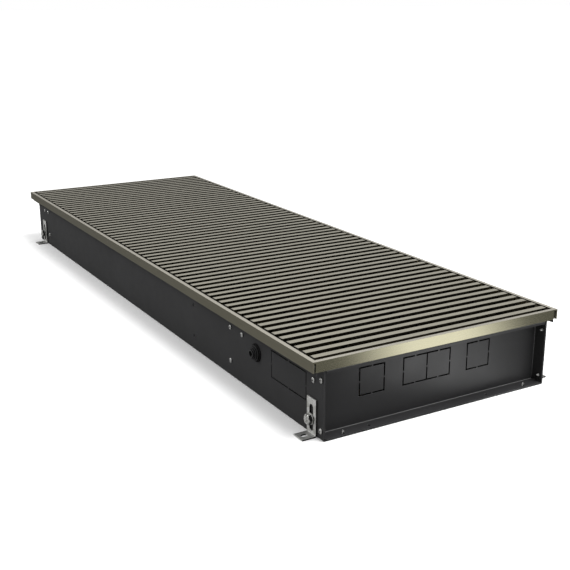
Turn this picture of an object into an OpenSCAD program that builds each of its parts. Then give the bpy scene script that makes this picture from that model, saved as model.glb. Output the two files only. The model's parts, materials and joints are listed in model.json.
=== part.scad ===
// Trench convector heater: a fan-assisted convector for a channel in the floor, under a roll-up grille.
// X runs across the trench, Y along it and Z up. The pipe and cable end is at -Y.
// The origin is on the floor of the trench, under the middle of the heater.

/* [Trough] */
// Width over the trough's side walls
trough_w = 370; // [350:1:420]
// Length of the trough
trough_l = 1198; // [1190:1:1210]
// Height of the trough to the top of its flanges
trough_h = 95.5; // [92:0.5:100]
// Thickness of the steel sheet
sheet_t = 1.2; // [1:0.1:1.5]
// Inside radius of every bend in the sheet
bend_r = 1; // [0.8:0.1:1.5]
// How far the top flange stands out from the side wall
flange_w = 12; // [9:0.5:13]
// Depth of the turned-down edge of the flanges
lip_h = 4.8; // [3:0.1:6]
// How far the end plates sit back from the trough's ends
end_recess = 19; // [18:1:24]
// Side of a front knock-out
knockout_w = 38.8; // [30:0.2:42]
// Height of every knock-out
knockout_h = 38; // [30:1:40]
// Length of a side knock-out
side_knockout_l = 88.8; // [60:0.2:95]

/* [Frame] */
// How far the frame stands out over the trough's side walls
rail_over_side = 17; // [14:0.5:18]
// How far the frame stands out over the trough's ends
rail_over_end = 1.5; // [1:0.5:4]
// Height of the frame rails
rail_h = 14.5; // [14:0.5:20]
// Thickness of the rail's walls
rail_t = 1.8; // [1.5:0.1:2]
// Width of the rail's top lip
rail_lip_w = 6; // [3.5:0.1:6.5]
// Width of the ledge that carries the grille
ledge_w = 22.5; // [20:0.5:24]

/* [Grille] */
// Number of grille slats
slat_count = 61; // [30:1:61]
// Distance from one slat to the next
slat_pitch = 19.4; // [18:0.02:19.4]
// Width of a slat's top
slat_w = 9.5; // [7:0.1:11]
// Number of cords that string the slats together
string_count = 3; // [2:1:4]

/* [Feet] */
// Width of a foot bracket
foot_w = 21.5; // [20:0.5:26]
// Height of a foot bracket
foot_h = 51; // [46:1:56]
// Thickness of a foot bracket
foot_t = 2; // [1.5:0.1:2.5]
// How far a foot bracket reaches out from the wall
foot_reach = 22; // [19:0.5:24]
// Height of the clamping bolt
foot_bolt_z = 22.8; // [19:0.1:24]
// Length of the adjusting slot
foot_slot_l = 36; // [28:1:36]

/* [Coil] */
// Number of tube columns across the coil
tube_cols = 4; // [4:4]
// Spacing of the tube columns
tube_pitch_x = 37.5; // [35:0.5:38]
// Spacing of the two tube rows
tube_pitch_z = 25; // [25:0.5:28]
// Outside diameter of the copper tubes
tube_d = 12; // [10:1:12]
// Length of the finned stretch
fin_l = 800; // [600:10:800]
// Spacing of the fins
fin_pitch = 5; // [4:1:10]
// Thickness of a fin
fin_t = 0.4; // [0.3:0.1:0.6]

/* [Fan] */
// Outside diameter of the fan wheels
wheel_d = 56; // [50:1:58]
// Number of blades round a fan wheel
blade_count = 24; // [16:1:28]
// Diameter of the fan shaft
shaft_d = 8; // [6:1:8]

/* [Hidden] */
$fn = 48;

// Shared clearances
slide_gap = 0.3;      // between pieces that slide past each other
running_gap = 0.05;   // round a turning shaft
hole_gap = 0.1;       // round a fixed screw
cut = 1;              // how far a cutting shape runs past a face

// Trough
bend_out = bend_r + sheet_t;
half_w = trough_w / 2;
half_l = trough_l / 2;
inner_half_w = half_w - sheet_t;
floor_z = sheet_t;
plate_y = half_l - end_recess;            // outer face of an end plate's web
slit_w = 2;
slit_bridge = 2.2;
knockout_z = 60;
front_knockout_x = [-99.8, -30.2, 8.6, 77.4];
side_knockout_y = -512.4;
mid_hole_y = -221.7;
mid_hole_z = [22.6, 73.2];

// Partitions and covers
partition_y = [-340, 538];                // front face of each partition's web
partition_flange = 16;
partition_h = 86;
cover_z = 84;
cover_tab_z = 75;
front_cover_y = [-578.5, -342];
rear_cover_y = [541, 578.5];
front_cover_tabs = [[-578.5, -562], [-395, -375]];
rear_cover_tabs = [[544, 564]];
cover_screw_y = [-574.8, -384, 554];

// Screws: shank radius, head radius, head height, tail length inside the wall
screw_r = 1.95;
screw_head_r = 3.7;
screw_head_h = 2.4;
screw_tail = 6.5;
end_screw_y = half_l - 6;
floor_screw_y = half_l - 5.2;
end_screw_z = [12.4, 80.7];
floor_screw_x = 152.5;
partition_screw_z = [24.5, 75.5];
ledge_hole_x = [-110.5, 86];
ledge_hole_y = half_l - 8;

// Frame
frame_half_w = half_w + rail_over_side;
frame_half_l = half_l + rail_over_end;
frame_top = trough_h + rail_h;
ledge_top = trough_h + rail_t;
rail_lip_h = 2;
key_w = 10.5;
key_t = 1.1;
key_arm = 36;
rib_x = rail_t + 0.3 + key_w + 0.3;       // from the rail's outer face to the rib
rib_w = 1;
rib_h = 1.1;
cushion_h = 1.2;
end_leg_gap = [4, 6.5];                   // from the frame's corner to the end rail's leg
rail_screw_y = [-450, -150, 150, 450];
rail_screw_x = [-120, 120];
rail_screw_in = 9.6;                      // from the frame's outer face

// Grille
slat_bottom = ledge_top + cushion_h + slide_gap;
slat_h = frame_top - slat_bottom;
slat_half_l = frame_half_w - rail_lip_w - 2.3;
first_slat_y = -frame_half_l + 17.5;
slat_edge_h = 0.6;                        // height of the cap at its edges
slat_web_w = 2.6;
slat_foot_w = 6;
slat_foot_h = 1.8;
string_r = 1.5;
string_z = slat_bottom + 4.35;
string_span = 260;
spacer_r = 2.4;

// Feet
foot_y = [-573.4, 560];
foot_wall = half_w + slide_gap;
foot_bolt_r = 4;
foot_slot_r = foot_bolt_r + slide_gap;
foot_slot_z = 24.2;
washer_t = 1.6;
washer_r = 8;
bolt_head_h = 5.3;
bolt_head_r = 7.5;
bolt_l = 17;
rivet_nut_r = 5.2;
rivet_nut_l = 11;
anchor_r = 3.2;
anchor_l = 10;
anchor_in = 12.5;                         // from the wall to the middle of the anchor slot

// Cable grommet on the left wall
grommet_y = -426;
grommet_z = 62;
grommet_hole_r = 11;
cable_r = 4;

// Coil: columns from the left, rows from the bottom
coil_x = 29;
coil_z = 45;
coil_y = 100;
tube_r = tube_d / 2;
tube_wall = 0.8;
tube_x = [for (i = [0 : tube_cols - 1]) coil_x + (i - (tube_cols - 1) / 2) * tube_pitch_x];
tube_z = [coil_z - tube_pitch_z / 2, coil_z + tube_pitch_z / 2];
fin_w = tube_cols * tube_pitch_x;
fin_h = 2 * tube_pitch_z;
fin_count = floor(fin_l / fin_pitch) + 1;
coil_half_l = fin_l / 2;
coil_plate_t = 1.5;
tube_end = coil_half_l + 8;
pipe_end_y = -438;

// Pipe connectors with half-inch female threads, and the air vent
connector_y = -455;
connector_hex_r = 13.8;
connector_hex_l = 18;
connector_l = 30;
thread_r = 9.3;
thread_l = 14;
connector_collar_r = 9;
bracket_y = -434.5;
vent_y = -396;
vent_boss_r = 5.5;
vent_boss_h = 16.5;
vent_screw_r = 2.5;

// Fan
fan_x = -112;
fan_z = 46;
wheel_r = wheel_d / 2;
wheel_in_r = 21;
blade_t = 0.9;
blade_curve_r = 7;
ring_t = 2;
rings_per_wheel = 5;
shaft_r = shaft_d / 2;
plate_at = [-275, 121, 517];              // front face of each fan plate
fan_plate_t = 1.5;
bearing_r = 8;
bearing_l = 8;
wheel_end_gap = 6;
scroll_r = 37;
scroll_t = 1;
scroll_end_x = -52;
tongue_r = 32;
motor_r = 24;
motor_y = [-333, -295];
coupling_r = 9;
coupling_y = [-291, -281];

// Control box
box_at = [-165, -455];
box_size = [90, 70, 36];
box_wall = 2;
box_corner_r = 4;
lid_t = 3;
lead_r = 3;
lead_z = 27;
lead_at_x = fan_x;

function wheel_span(i) = [
    plate_at[i] + fan_plate_t + wheel_end_gap,
    plate_at[i + 1] - wheel_end_gap
];

// ---- Placing and cutting helpers -------------------------------------------------------------

// A profile drawn in X and Z, run along Y from y0 to y1
module run_y(y0, y1) translate([0, y1, 0]) rotate([90, 0, 0]) linear_extrude(y1 - y0) children();

// A profile drawn in Y and Z, run along X from x0 to x1
module run_x(x0, x1) translate([x0, 0, 0]) rotate([90, 0, 90]) linear_extrude(x1 - x0) children();

// A rod along Y
module rod_y(r, y0, y1) translate([0, y0, 0]) rotate([-90, 0, 0]) cylinder(r = r, h = y1 - y0);

// Turns a piece drawn up Z so that it points outwards through a side wall; side is -1 or 1
module through_wall(side, y, z) translate([side * half_w, y, z]) rotate([0, side * 90, 0]) children();

// The quarter of a ring in the first quadrant
module quarter_ring(r, t) intersection() {
    difference() {
        circle(r + t);
        circle(r);
    }
    square(r + t + cut);
}

// The section of a bent sheet: straight runs with a turn of 90 (left) or -90 (right) between them
module bent_sheet(runs, t = sheet_t, r = bend_r, i = 0) {
    square([runs[i], t]);
    if (i + 1 < len(runs)) {
        left = runs[i + 1] > 0;
        translate([runs[i], left ? t + r : -r]) rotate(left ? -90 : 0) quarter_ring(r, t);
        translate(left ? [runs[i] + r + t, t + r] : [runs[i] + r, -r])
            rotate(runs[i + 1]) bent_sheet(runs, t, r, i + 2);
    }
}

// A sector of a ring between two angles less than 180 degrees apart
module ring_sector(r, t, a0, a1) {
    far = 2 * (r + t);
    mid = (a0 + a1) / 2;
    intersection() {
        difference() {
            circle(r + t);
            circle(r);
        }
        polygon([[0, 0], far * [cos(a0), sin(a0)], far * [cos(mid), sin(mid)], far * [cos(a1), sin(a1)]]);
    }
}

// A slot with round ends along the first axis, end to end l
module slot(l, r, h) {
    for (s = [-1, 1]) translate([s * (l / 2 - r), 0, 0]) cylinder(r = r, h = h, center = true);
    cube([l - 2 * r, 2 * r, h], center = true);
}

// The slits round a knock-out, with a bridge left in the middle of each side
module knockout_slits(w, h) {
    depth = 2 * (sheet_t + cut);
    for (side = [-1, 1], end = [-1, 1]) {
        side_run = (w + slit_w - slit_bridge) / 2;
        translate([end * (side_run + slit_bridge) / 2, side * h / 2, 0])
            cube([side_run, slit_w, depth], center = true);
        end_run = (h + slit_w - slit_bridge) / 2;
        translate([side * w / 2, end * (end_run + slit_bridge) / 2, 0])
            cube([slit_w, end_run, depth], center = true);
    }
}

// ---- Fasteners -------------------------------------------------------------------------------

// A pan-head self-tapping screw with the underside of its head at z = 0 and a pointed tail
module pan_screw() {
    point = 2;
    difference() {
        union() {
            cylinder(r = screw_head_r, h = screw_head_h * 0.45);
            translate([0, 0, screw_head_h * 0.45])
                cylinder(r1 = screw_head_r, r2 = screw_head_r * 0.62, h = screw_head_h * 0.55);
        }
        for (a = [0, 90]) rotate(a) translate([-2.2, -0.5, screw_head_h - 1]) cube([4.4, 1, 2]);
    }
    translate([0, 0, -screw_tail + point]) cylinder(r = screw_r, h = screw_tail - point);
    translate([0, 0, -screw_tail]) cylinder(r1 = 0.6, r2 = screw_r, h = point);
}

// A countersunk screw driven up through the floor, its head flush with the underside
module floor_screw() {
    head_h = 1.9;
    shank_h = 4.4;
    cylinder(r1 = screw_head_r - 0.2, r2 = screw_r, h = head_h);
    translate([0, 0, head_h]) cylinder(r = screw_r, h = shank_h);
    translate([0, 0, head_h + shank_h]) cylinder(r1 = screw_r, r2 = 0.6, h = 1.2);
}

// The same shape a little larger, as a hole
module floor_screw_hole() {
    translate([0, 0, -0.01]) cylinder(r1 = screw_head_r, r2 = screw_r + hole_gap, h = 2);
    cylinder(r = screw_r + hole_gap, h = 6);
}

// A low-head screw that holds a frame rail down
module rail_screw() {
    translate([0, 0, ledge_top]) cylinder(r = 3.2, h = 1);
    translate([0, 0, trough_h - 3]) cylinder(r = screw_r, h = ledge_top - trough_h + 3);
}

module at_rail_screws() {
    side_x = frame_half_w - rail_screw_in;
    end_y = frame_half_l - rail_screw_in;
    for (side = [-1, 1], y = rail_screw_y) translate([side * side_x, y, 0]) children();
    for (end = [-1, 1], x = rail_screw_x) translate([x, end * end_y, 0]) children();
}

// Every screw through the side walls: end plates, covers and partitions
module at_side_screws() {
    for (side = [-1, 1]) {
        for (end = [-1, 1], z = end_screw_z) through_wall(side, end * end_screw_y, z) children();
        for (y = partition_y, z = partition_screw_z)
            through_wall(side, y - partition_flange / 2, z) children();
        for (y = cover_screw_y) through_wall(side, y, cover_tab_z) children();
    }
}

module at_floor_screws() {
    for (end = [-1, 1], side = [-1, 1])
        translate([side * floor_screw_x, end * floor_screw_y, 0]) children();
}

module screw_hole() translate([0, 0, -4]) cylinder(r = screw_r + hole_gap, h = 6);

// ---- Trough, end plates, partitions and covers -----------------------------------------------

module trough() {
    wall_run = trough_h - 2 * bend_out;
    floor_run = trough_w - 2 * bend_out;
    flange_run = flange_w - sheet_t - 2 * bend_r;
    lip_run = lip_h - bend_out;
    color([0.10, 0.10, 0.11]) difference() {
        run_y(-half_l, half_l)
            translate([-half_w - flange_w + sheet_t, trough_h - lip_h]) rotate(90)
                bent_sheet([lip_run, -90, flange_run, -90, wall_run, 90, floor_run,
                            90, wall_run, -90, flange_run, -90, lip_run]);
        at_side_screws() screw_hole();
        at_floor_screws() floor_screw_hole();
        at_rail_screws() translate([0, 0, trough_h - 5]) cylinder(r = screw_r + hole_gap, h = 6);
        for (end = [-1, 1], x = ledge_hole_x)
            translate([end * -x, end * ledge_hole_y, -cut]) cylinder(r = 2, h = sheet_t + 2 * cut);
        for (side = [-1, 1]) {
            for (y = foot_y) through_wall(side, y, foot_bolt_z)
                translate([0, 0, -sheet_t - cut]) cylinder(r = rivet_nut_r, h = sheet_t + 2 * cut);
            for (z = mid_hole_z) through_wall(side, mid_hole_y, z)
                translate([0, 0, -sheet_t - cut]) cylinder(r = 2.4, h = sheet_t + 2 * cut);
            translate([side * half_w, side_knockout_y, knockout_z]) rotate([90, 0, 90])
                knockout_slits(side_knockout_l, knockout_h);
        }
        through_wall(-1, grommet_y, grommet_z)
            translate([0, 0, -sheet_t - cut]) cylinder(r = grommet_hole_r, h = sheet_t + 2 * cut);
    }
}

// The front end plate: a tray with its flanges turned out towards the trough's end, the top one lipped
module end_plate() {
    side_x = inner_half_w;
    web_half = side_x - bend_out;
    reach = end_recess + sheet_t - bend_out;
    difference() {
        union() {
            run_x(-web_half, web_half) translate([-half_l, floor_z])
                bent_sheet([reach, 90, trough_h - floor_z - 2 * bend_out, 90, reach - bend_out,
                            90, lip_h - bend_out]);
            translate([0, 0, floor_z + bend_out + 1]) linear_extrude(trough_h - floor_z - 2 * bend_out - 2)
                translate([-side_x + sheet_t, -half_l]) rotate(90)
                    bent_sheet([end_recess - bend_r, -90, 2 * web_half, -90, end_recess - bend_r]);
        }
        for (x = front_knockout_x) translate([x, -plate_y + sheet_t / 2, knockout_z]) rotate([90, 0, 0])
            knockout_slits(knockout_w, knockout_h);
        at_side_screws() screw_hole();
        at_floor_screws() floor_screw_hole();
        at_rail_screws() translate([0, 0, trough_h - 5]) cylinder(r = screw_r + hole_gap, h = 6);
        for (x = ledge_hole_x)
            translate([x, -ledge_hole_y, floor_z - cut]) cylinder(r = 2, h = sheet_t + 2 * cut);
    }
}

module front_end_plate() color([0.13, 0.13, 0.14]) end_plate();

module rear_end_plate() color([0.13, 0.13, 0.14]) rotate(180) end_plate();

// A cross wall between the finned stretch and an end chamber
module partition_wall(y) {
    side_x = inner_half_w;
    web_half = side_x - bend_out;
    flange_run = partition_flange - bend_r;
    union() {
        run_x(-web_half, web_half) translate([y - partition_flange, floor_z])
            bent_sheet([flange_run, 90, partition_h - floor_z - bend_out]);
        translate([0, 0, floor_z + bend_out + 1]) linear_extrude(partition_h - floor_z - bend_out - 1)
            translate([-side_x + sheet_t, y - partition_flange]) rotate(90)
                bent_sheet([flange_run, -90, 2 * web_half, -90, flange_run]);
    }
}

module front_partition() {
    y = partition_y[0];
    color([0.12, 0.12, 0.13]) difference() {
        partition_wall(y);
        at_side_screws() screw_hole();
        for (x = [tube_x[0], tube_x[1]]) translate([x, 0, tube_z[1]]) rod_y(tube_r + 2, y - 5, y + 5);
        translate([lead_at_x, 0, lead_z]) rod_y(5, y - 5, y + 5);
    }
}

module rear_partition() {
    color([0.12, 0.12, 0.13]) difference() {
        partition_wall(partition_y[1]);
        at_side_screws() screw_hole();
    }
}

// A sheet cover over an end chamber, with a tab bent down at each of its screws
module cover_plate(y0, y1, tabs) {
    side_x = inner_half_w - 0.2;
    top_run = 2 * (side_x - bend_out);
    tab_run = 16;
    difference() {
        union() {
            translate([-side_x + bend_out, y0, cover_z - sheet_t]) cube([top_run, y1 - y0, sheet_t]);
            for (tab = tabs) run_y(tab[0], tab[1])
                translate([-side_x + sheet_t, cover_z - bend_out - tab_run]) rotate(90)
                    bent_sheet([tab_run, -90, top_run, -90, tab_run]);
        }
        at_side_screws() screw_hole();
    }
}

module front_cover_plate()
    color([0.11, 0.11, 0.12]) cover_plate(front_cover_y[0], front_cover_y[1], front_cover_tabs);

module rear_cover_plate()
    color([0.11, 0.11, 0.12]) cover_plate(rear_cover_y[0], rear_cover_y[1], rear_cover_tabs);

// ---- Frame -----------------------------------------------------------------------------------

// The rail's section, with its outer face at x = 0 and the ledge running to -x
module rail_ledge_section() {
    translate([-ledge_w, trough_h]) square([ledge_w, rail_t]);
    translate([-rib_x - rib_w, trough_h]) square([rib_w, rail_t + rib_h]);
}

module rail_leg_section() translate([-rail_t, trough_h]) square([rail_t, rail_h - rail_lip_h]);

module rail_lip_section() translate([-rail_lip_w, frame_top - rail_lip_h]) square([rail_lip_w, rail_lip_h]);

// The space of one side rail between the two mitre cuts
module side_mitre() {
    in = ledge_w + cut;
    linear_extrude(frame_top + cut) polygon([
        [frame_half_w, -frame_half_l], [frame_half_w, frame_half_l],
        [frame_half_w - in, frame_half_l - in], [frame_half_w - in, -frame_half_l + in]]);
}

// The space of the front rail between the two mitre cuts
module end_mitre() {
    in = ledge_w + cut;
    linear_extrude(frame_top + cut) polygon([
        [-frame_half_w, -frame_half_l], [frame_half_w, -frame_half_l],
        [frame_half_w - in, -frame_half_l + in], [-frame_half_w + in, -frame_half_l + in]]);
}

module rail_screw_holes()
    at_rail_screws() translate([0, 0, trough_h - cut]) cylinder(r = screw_r + hole_gap, h = 6);

// The right rail: its leg runs square to both ends, its lip and ledge are mitred
module side_rail() difference() {
    union() {
        run_y(-frame_half_l, frame_half_l) translate([frame_half_w, 0]) rail_leg_section();
        intersection() {
            side_mitre();
            run_y(-frame_half_l, frame_half_l) translate([frame_half_w, 0]) {
                rail_ledge_section();
                rail_lip_section();
            }
        }
    }
    rail_screw_holes();
}

module left_frame_rail() color([0.70, 0.67, 0.58]) rotate(180) side_rail();

module right_frame_rail() color([0.70, 0.67, 0.58]) side_rail();

// The front rail: its lip is mitred, its leg and ledge stop short of the side rails' legs
module end_rail() difference() {
    intersection() {
        end_mitre();
        translate([0, -frame_half_l, 0]) rotate(-90) {
            run_y(-frame_half_w, frame_half_w) rail_lip_section();
            run_y(-frame_half_w + end_leg_gap[0], frame_half_w - end_leg_gap[1]) {
                rail_ledge_section();
                rail_leg_section();
            }
        }
    }
    rail_screw_holes();
}

module front_frame_rail() color([0.70, 0.67, 0.58]) end_rail();

module rear_frame_rail() color([0.70, 0.67, 0.58]) rotate(180) end_rail();

// Flat corner keys in the grooves between the rails' legs and ribs
module frame_corner_keys() {
    out_x = frame_half_w - rail_t - 0.3;
    out_y = frame_half_l - rail_t - 0.3;
    color([0.75, 0.76, 0.78])
        for (sx = [0, 1], sy = [0, 1]) mirror([sx, 0, 0]) mirror([0, sy, 0])
            translate([out_x, out_y, ledge_top]) {
                translate([-key_w, -key_arm, 0]) cube([key_w, key_arm, key_t]);
                translate([-key_arm, -key_w, 0]) cube([key_arm, key_w, key_t]);
            }
}

module frame_screws() color([0.72, 0.73, 0.75]) at_rail_screws() rail_screw();

// Rubber strips on the side ledges, under the slats' ends
module cushion_strips() {
    strip_w = ledge_w - rib_x - rib_w - 1;
    strip_half_l = frame_half_l - ledge_w - 2;
    color([0.08, 0.08, 0.08]) for (side = [0, 1]) mirror([side, 0, 0])
        translate([frame_half_w - ledge_w, -strip_half_l, ledge_top])
            cube([strip_w, 2 * strip_half_l, cushion_h]);
}

// ---- Grille ----------------------------------------------------------------------------------

function slat_y(i) = first_slat_y + i * slat_pitch;

function string_x(i) = string_span * (i / (string_count - 1) - 0.5);

// A slat's section: a flat cap with eased edges that tapers to a thin web, and a narrow foot
module slat_section() {
    ease = 0.2;
    half = slat_w / 2;
    web = slat_web_w / 2;
    edge_z = slat_h - slat_edge_h;
    taper_z = edge_z - (half - web);
    polygon([[-half, edge_z], [-web, taper_z], [web, taper_z], [half, edge_z],
             [half, slat_h - ease], [half - ease, slat_h], [ease - half, slat_h], [-half, slat_h - ease]]);
    translate([-web, 0]) square([slat_web_w, taper_z + cut]);
    translate([-slat_foot_w / 2, 0]) square([slat_foot_w, slat_foot_h]);
}

module grille_slats() {
    color([0.76, 0.73, 0.64]) for (i = [0 : slat_count - 1]) difference() {
        translate([0, slat_y(i), slat_bottom]) run_x(-slat_half_l, slat_half_l) slat_section();
        for (s = [0 : string_count - 1]) translate([string_x(s), 0, string_z])
            rod_y(string_r + hole_gap, slat_y(i) - 5, slat_y(i) + 5);
    }
}

// Steel cords with a crimped end behind the first and the last slat
module grille_strings() {
    y0 = slat_y(0) - slat_web_w / 2 - 3;
    y1 = slat_y(slat_count - 1) + slat_web_w / 2 + 3;
    color([0.66, 0.67, 0.69]) for (s = [0 : string_count - 1]) translate([string_x(s), 0, string_z]) {
        rod_y(string_r, y0, y1);
        rod_y(spacer_r, y0, y0 + 2.8);
        rod_y(spacer_r, y1 - 2.8, y1);
    }
}

// Sleeves on the cords that keep the slats apart
module grille_spacers() {
    color([0.12, 0.12, 0.12]) for (s = [0 : string_count - 1], i = [0 : slat_count - 2])
        translate([string_x(s), 0, string_z]) difference() {
            rod_y(spacer_r, slat_y(i) + slat_web_w / 2 + 0.1, slat_y(i + 1) - slat_web_w / 2 - 0.1);
            rod_y(string_r + hole_gap, slat_y(i), slat_y(i + 1));
        }
}

// ---- Feet ------------------------------------------------------------------------------------

// A foot bracket on the left wall at y: an angle with an adjusting slot and an anchor slot
module foot(y) {
    out = bend_r + foot_t;
    difference() {
        run_y(y - foot_w / 2, y + foot_w / 2) translate([-half_w - foot_reach, 0])
            bent_sheet([foot_reach - slide_gap - out, 90, foot_h - out], foot_t, bend_r);
        translate([-foot_wall, y, foot_slot_z]) rotate([0, 90, 0]) slot(foot_slot_l, foot_slot_r, 4 * foot_t);
        translate([-half_w - anchor_in, y, 0]) slot(anchor_l, anchor_r, 4 * foot_t);
    }
}

module front_left_foot() color([0.80, 0.81, 0.82]) foot(foot_y[0]);

module front_right_foot() color([0.80, 0.81, 0.82]) mirror([1, 0, 0]) foot(foot_y[0]);

module rear_left_foot() color([0.80, 0.81, 0.82]) foot(foot_y[1]);

module rear_right_foot() color([0.80, 0.81, 0.82]) mirror([1, 0, 0]) foot(foot_y[1]);

module at_foot_bolts() for (side = [-1, 1], y = foot_y) through_wall(side, y, foot_bolt_z) children();

module foot_bolts() {
    head_z = 2 * slide_gap + foot_t + washer_t;
    color([0.82, 0.83, 0.84]) at_foot_bolts() {
        translate([0, 0, head_z]) intersection() {
            rotate(30) cylinder(r = bolt_head_r, h = bolt_head_h, $fn = 6);
            cylinder(r1 = bolt_head_r + 4, r2 = bolt_head_r - 0.8, h = bolt_head_h);
        }
        translate([0, 0, head_z - bolt_l]) cylinder(r = foot_bolt_r, h = bolt_l);
    }
}

module foot_washers() {
    color([0.80, 0.81, 0.82]) at_foot_bolts() translate([0, 0, 2 * slide_gap + foot_t]) difference() {
        cylinder(r = washer_r, h = washer_t);
        translate([0, 0, -cut]) cylinder(r = foot_bolt_r + hole_gap, h = washer_t + 2 * cut);
    }
}

module foot_rivet_nuts() {
    color([0.72, 0.73, 0.75]) at_foot_bolts() translate([0, 0, -rivet_nut_l]) difference() {
        cylinder(r = rivet_nut_r, h = rivet_nut_l);
        translate([0, 0, -cut]) cylinder(r = foot_bolt_r + 0.05, h = rivet_nut_l + 2 * cut);
    }
}

// ---- Screws and the cable grommet ------------------------------------------------------------

module side_screws() color([0.82, 0.83, 0.84]) at_side_screws() pan_screw();

module floor_screws() color([0.82, 0.83, 0.84]) at_floor_screws() floor_screw();

// A stepped rubber grommet, gripped in the left wall by its two flanges
module cable_grommet() {
    steps = [[13.2, 1.8], [11.5, 2], [9.8, 2], [8.2, 1.9], [6.8, 1.8]];   // radius and height outwards
    function step_z(i) = i == 0 ? 0 : step_z(i - 1) + steps[i - 1][1];
    color([0.05, 0.05, 0.05]) through_wall(-1, grommet_y, grommet_z) rotate_extrude() {
        for (i = [0 : len(steps) - 1])
            translate([cable_r, step_z(i)]) square([steps[i][0] - cable_r, steps[i][1]]);
        translate([cable_r, -sheet_t]) square([grommet_hole_r - cable_r, sheet_t]);
        translate([cable_r, -sheet_t - 2]) square([13 - cable_r, 2]);
    }
}

// ---- Coil ------------------------------------------------------------------------------------

// The tubes that end in pipe connectors run on through the front partition
function tube_start(col, row) = row == 1 && col < 2 ? pipe_end_y : coil_y - tube_end;

module coil_tubes() {
    color([0.72, 0.42, 0.28])
        for (col = [0 : tube_cols - 1], row = [0, 1]) translate([tube_x[col], 0, tube_z[row]])
            difference() {
                rod_y(tube_r, tube_start(col, row), coil_y + tube_end);
                rod_y(tube_r - tube_wall, tube_start(col, row) - cut, coil_y + tube_end + cut);
            }
}

// A hollow half-turn from the origin to the point a pitch away along X, bulging along +Z
module return_bend(pitch) {
    translate([pitch / 2, 0, 0]) rotate([90, 0, 0]) rotate_extrude(angle = 180)
        translate([pitch / 2, 0]) difference() {
            circle(tube_r);
            circle(tube_r - tube_wall);
        }
}

// The water's way: up and down the columns at the rear, across the columns at the front
module coil_bends() {
    front_y = coil_y - tube_end;
    rear_y = coil_y + tube_end;
    color([0.72, 0.42, 0.28]) {
        for (col = [0, tube_cols - 1]) translate([tube_x[col], rear_y, tube_z[0]])
            rotate([-90, 0, 0]) rotate(-90) return_bend(tube_pitch_z);
        for (row = [0, 1]) translate([tube_x[1], rear_y, tube_z[row]])
            rotate([-90, 0, 0]) return_bend(tube_pitch_x);
        for (row = [0, 1]) translate([tube_x[2], front_y, tube_z[row]])
            rotate([90, 0, 0]) return_bend(tube_pitch_x);
        translate([tube_x[0], front_y, tube_z[0]]) rotate([90, 0, 0]) return_bend(tube_pitch_x);
    }
}

// The holes for all tubes, in a drawing of X and Z
module tube_holes(gap) {
    for (x = tube_x, z = tube_z) translate([x, z]) circle(tube_r + gap);
}

module coil_fins() {
    color([0.80, 0.81, 0.82]) for (i = [0 : fin_count - 1])
        translate([0, coil_y - coil_half_l + i * fin_pitch, 0]) run_y(0, fin_t) difference() {
            translate([coil_x - fin_w / 2, coil_z - fin_h / 2]) square([fin_w, fin_h]);
            tube_holes(0);
        }
}

// Angle plates that stand on the trough's floor and carry the tubes
module coil_end_plates() {
    web_run = coil_z + fin_h / 2 + 3 - floor_z - bend_r - coil_plate_t;
    color([0.62, 0.63, 0.65]) for (end = [-1, 1]) difference() {
        translate([0, coil_y, 0]) mirror([0, end > 0 ? 1 : 0, 0])
            run_x(coil_x - fin_w / 2, coil_x + fin_w / 2)
                translate([-coil_half_l - 1 - 16, floor_z])
                    bent_sheet([16 - bend_r - coil_plate_t, 90, web_run], coil_plate_t, bend_r);
        run_y(coil_y - coil_half_l - 10, coil_y + coil_half_l + 10) tube_holes(0.05);
    }
}

module at_pipes() for (x = [tube_x[0], tube_x[1]]) translate([x, 0, tube_z[1]]) children();

// Brass sockets brazed on the supply and return tubes
module pipe_connectors() {
    color([0.78, 0.62, 0.30]) at_pipes() difference() {
        union() {
            translate([0, connector_y, 0]) rotate([-90, 0, 0])
                cylinder(r = connector_hex_r, h = connector_hex_l, $fn = 6);
            rod_y(connector_collar_r, connector_y + connector_hex_l, connector_y + connector_l);
        }
        rod_y(thread_r, connector_y - cut, connector_y + thread_l);
        rod_y(tube_r, connector_y + thread_l - cut, connector_y + connector_l + cut);
    }
}

// An angle that holds both connectors off the floor
module connector_bracket() {
    out = bend_r + coil_plate_t;
    color([0.62, 0.63, 0.65]) difference() {
        run_x(tube_x[0] - 22, tube_x[1] + 22) translate([bracket_y + 20, floor_z]) mirror([1, 0])
            bent_sheet([20 - out, 90, tube_z[1] + 16 - floor_z - out], coil_plate_t, bend_r);
        at_pipes() rod_y(connector_collar_r + 0.05, bracket_y - 5, bracket_y + 5);
    }
}

// The air vent's saddle on the supply pipe
module vent_body() {
    color([0.78, 0.62, 0.30]) translate([tube_x[0], vent_y, tube_z[1]]) difference() {
        union() {
            rod_y(tube_r + 2.5, -8, 8);
            cylinder(r = vent_boss_r, h = vent_boss_h);
        }
        rod_y(tube_r, -9, 9);
        translate([0, 0, tube_r + 3]) cylinder(r = vent_screw_r, h = vent_boss_h);
    }
}

// The vent's slotted screw, turned to let air out
module vent_screw() {
    head_h = 3;
    color([0.72, 0.73, 0.75]) translate([tube_x[0], vent_y, tube_z[1]]) {
        translate([0, 0, tube_r + 3.3])
            cylinder(r = vent_screw_r - running_gap, h = vent_boss_h - tube_r - 3);
        translate([0, 0, vent_boss_h + slide_gap]) difference() {
            cylinder(r = 4.4, h = head_h);
            translate([-5, -0.5, head_h - 1.2]) cube([10, 1, 2]);
        }
    }
}

// ---- Fan -------------------------------------------------------------------------------------

module at_fan() translate([fan_x, 0, fan_z]) children();

// One forward-curved blade, an arc that crosses from the inner to the outer radius of the wheel
module blade_section() {
    depth = wheel_r - wheel_in_r;
    reach = asin(depth / 2 / (blade_curve_r + blade_t));
    translate([wheel_in_r + depth / 2, -blade_curve_r * 0.75])
        ring_sector(blade_curve_r, blade_t, 90 - reach, 90 + reach);
}

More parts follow.
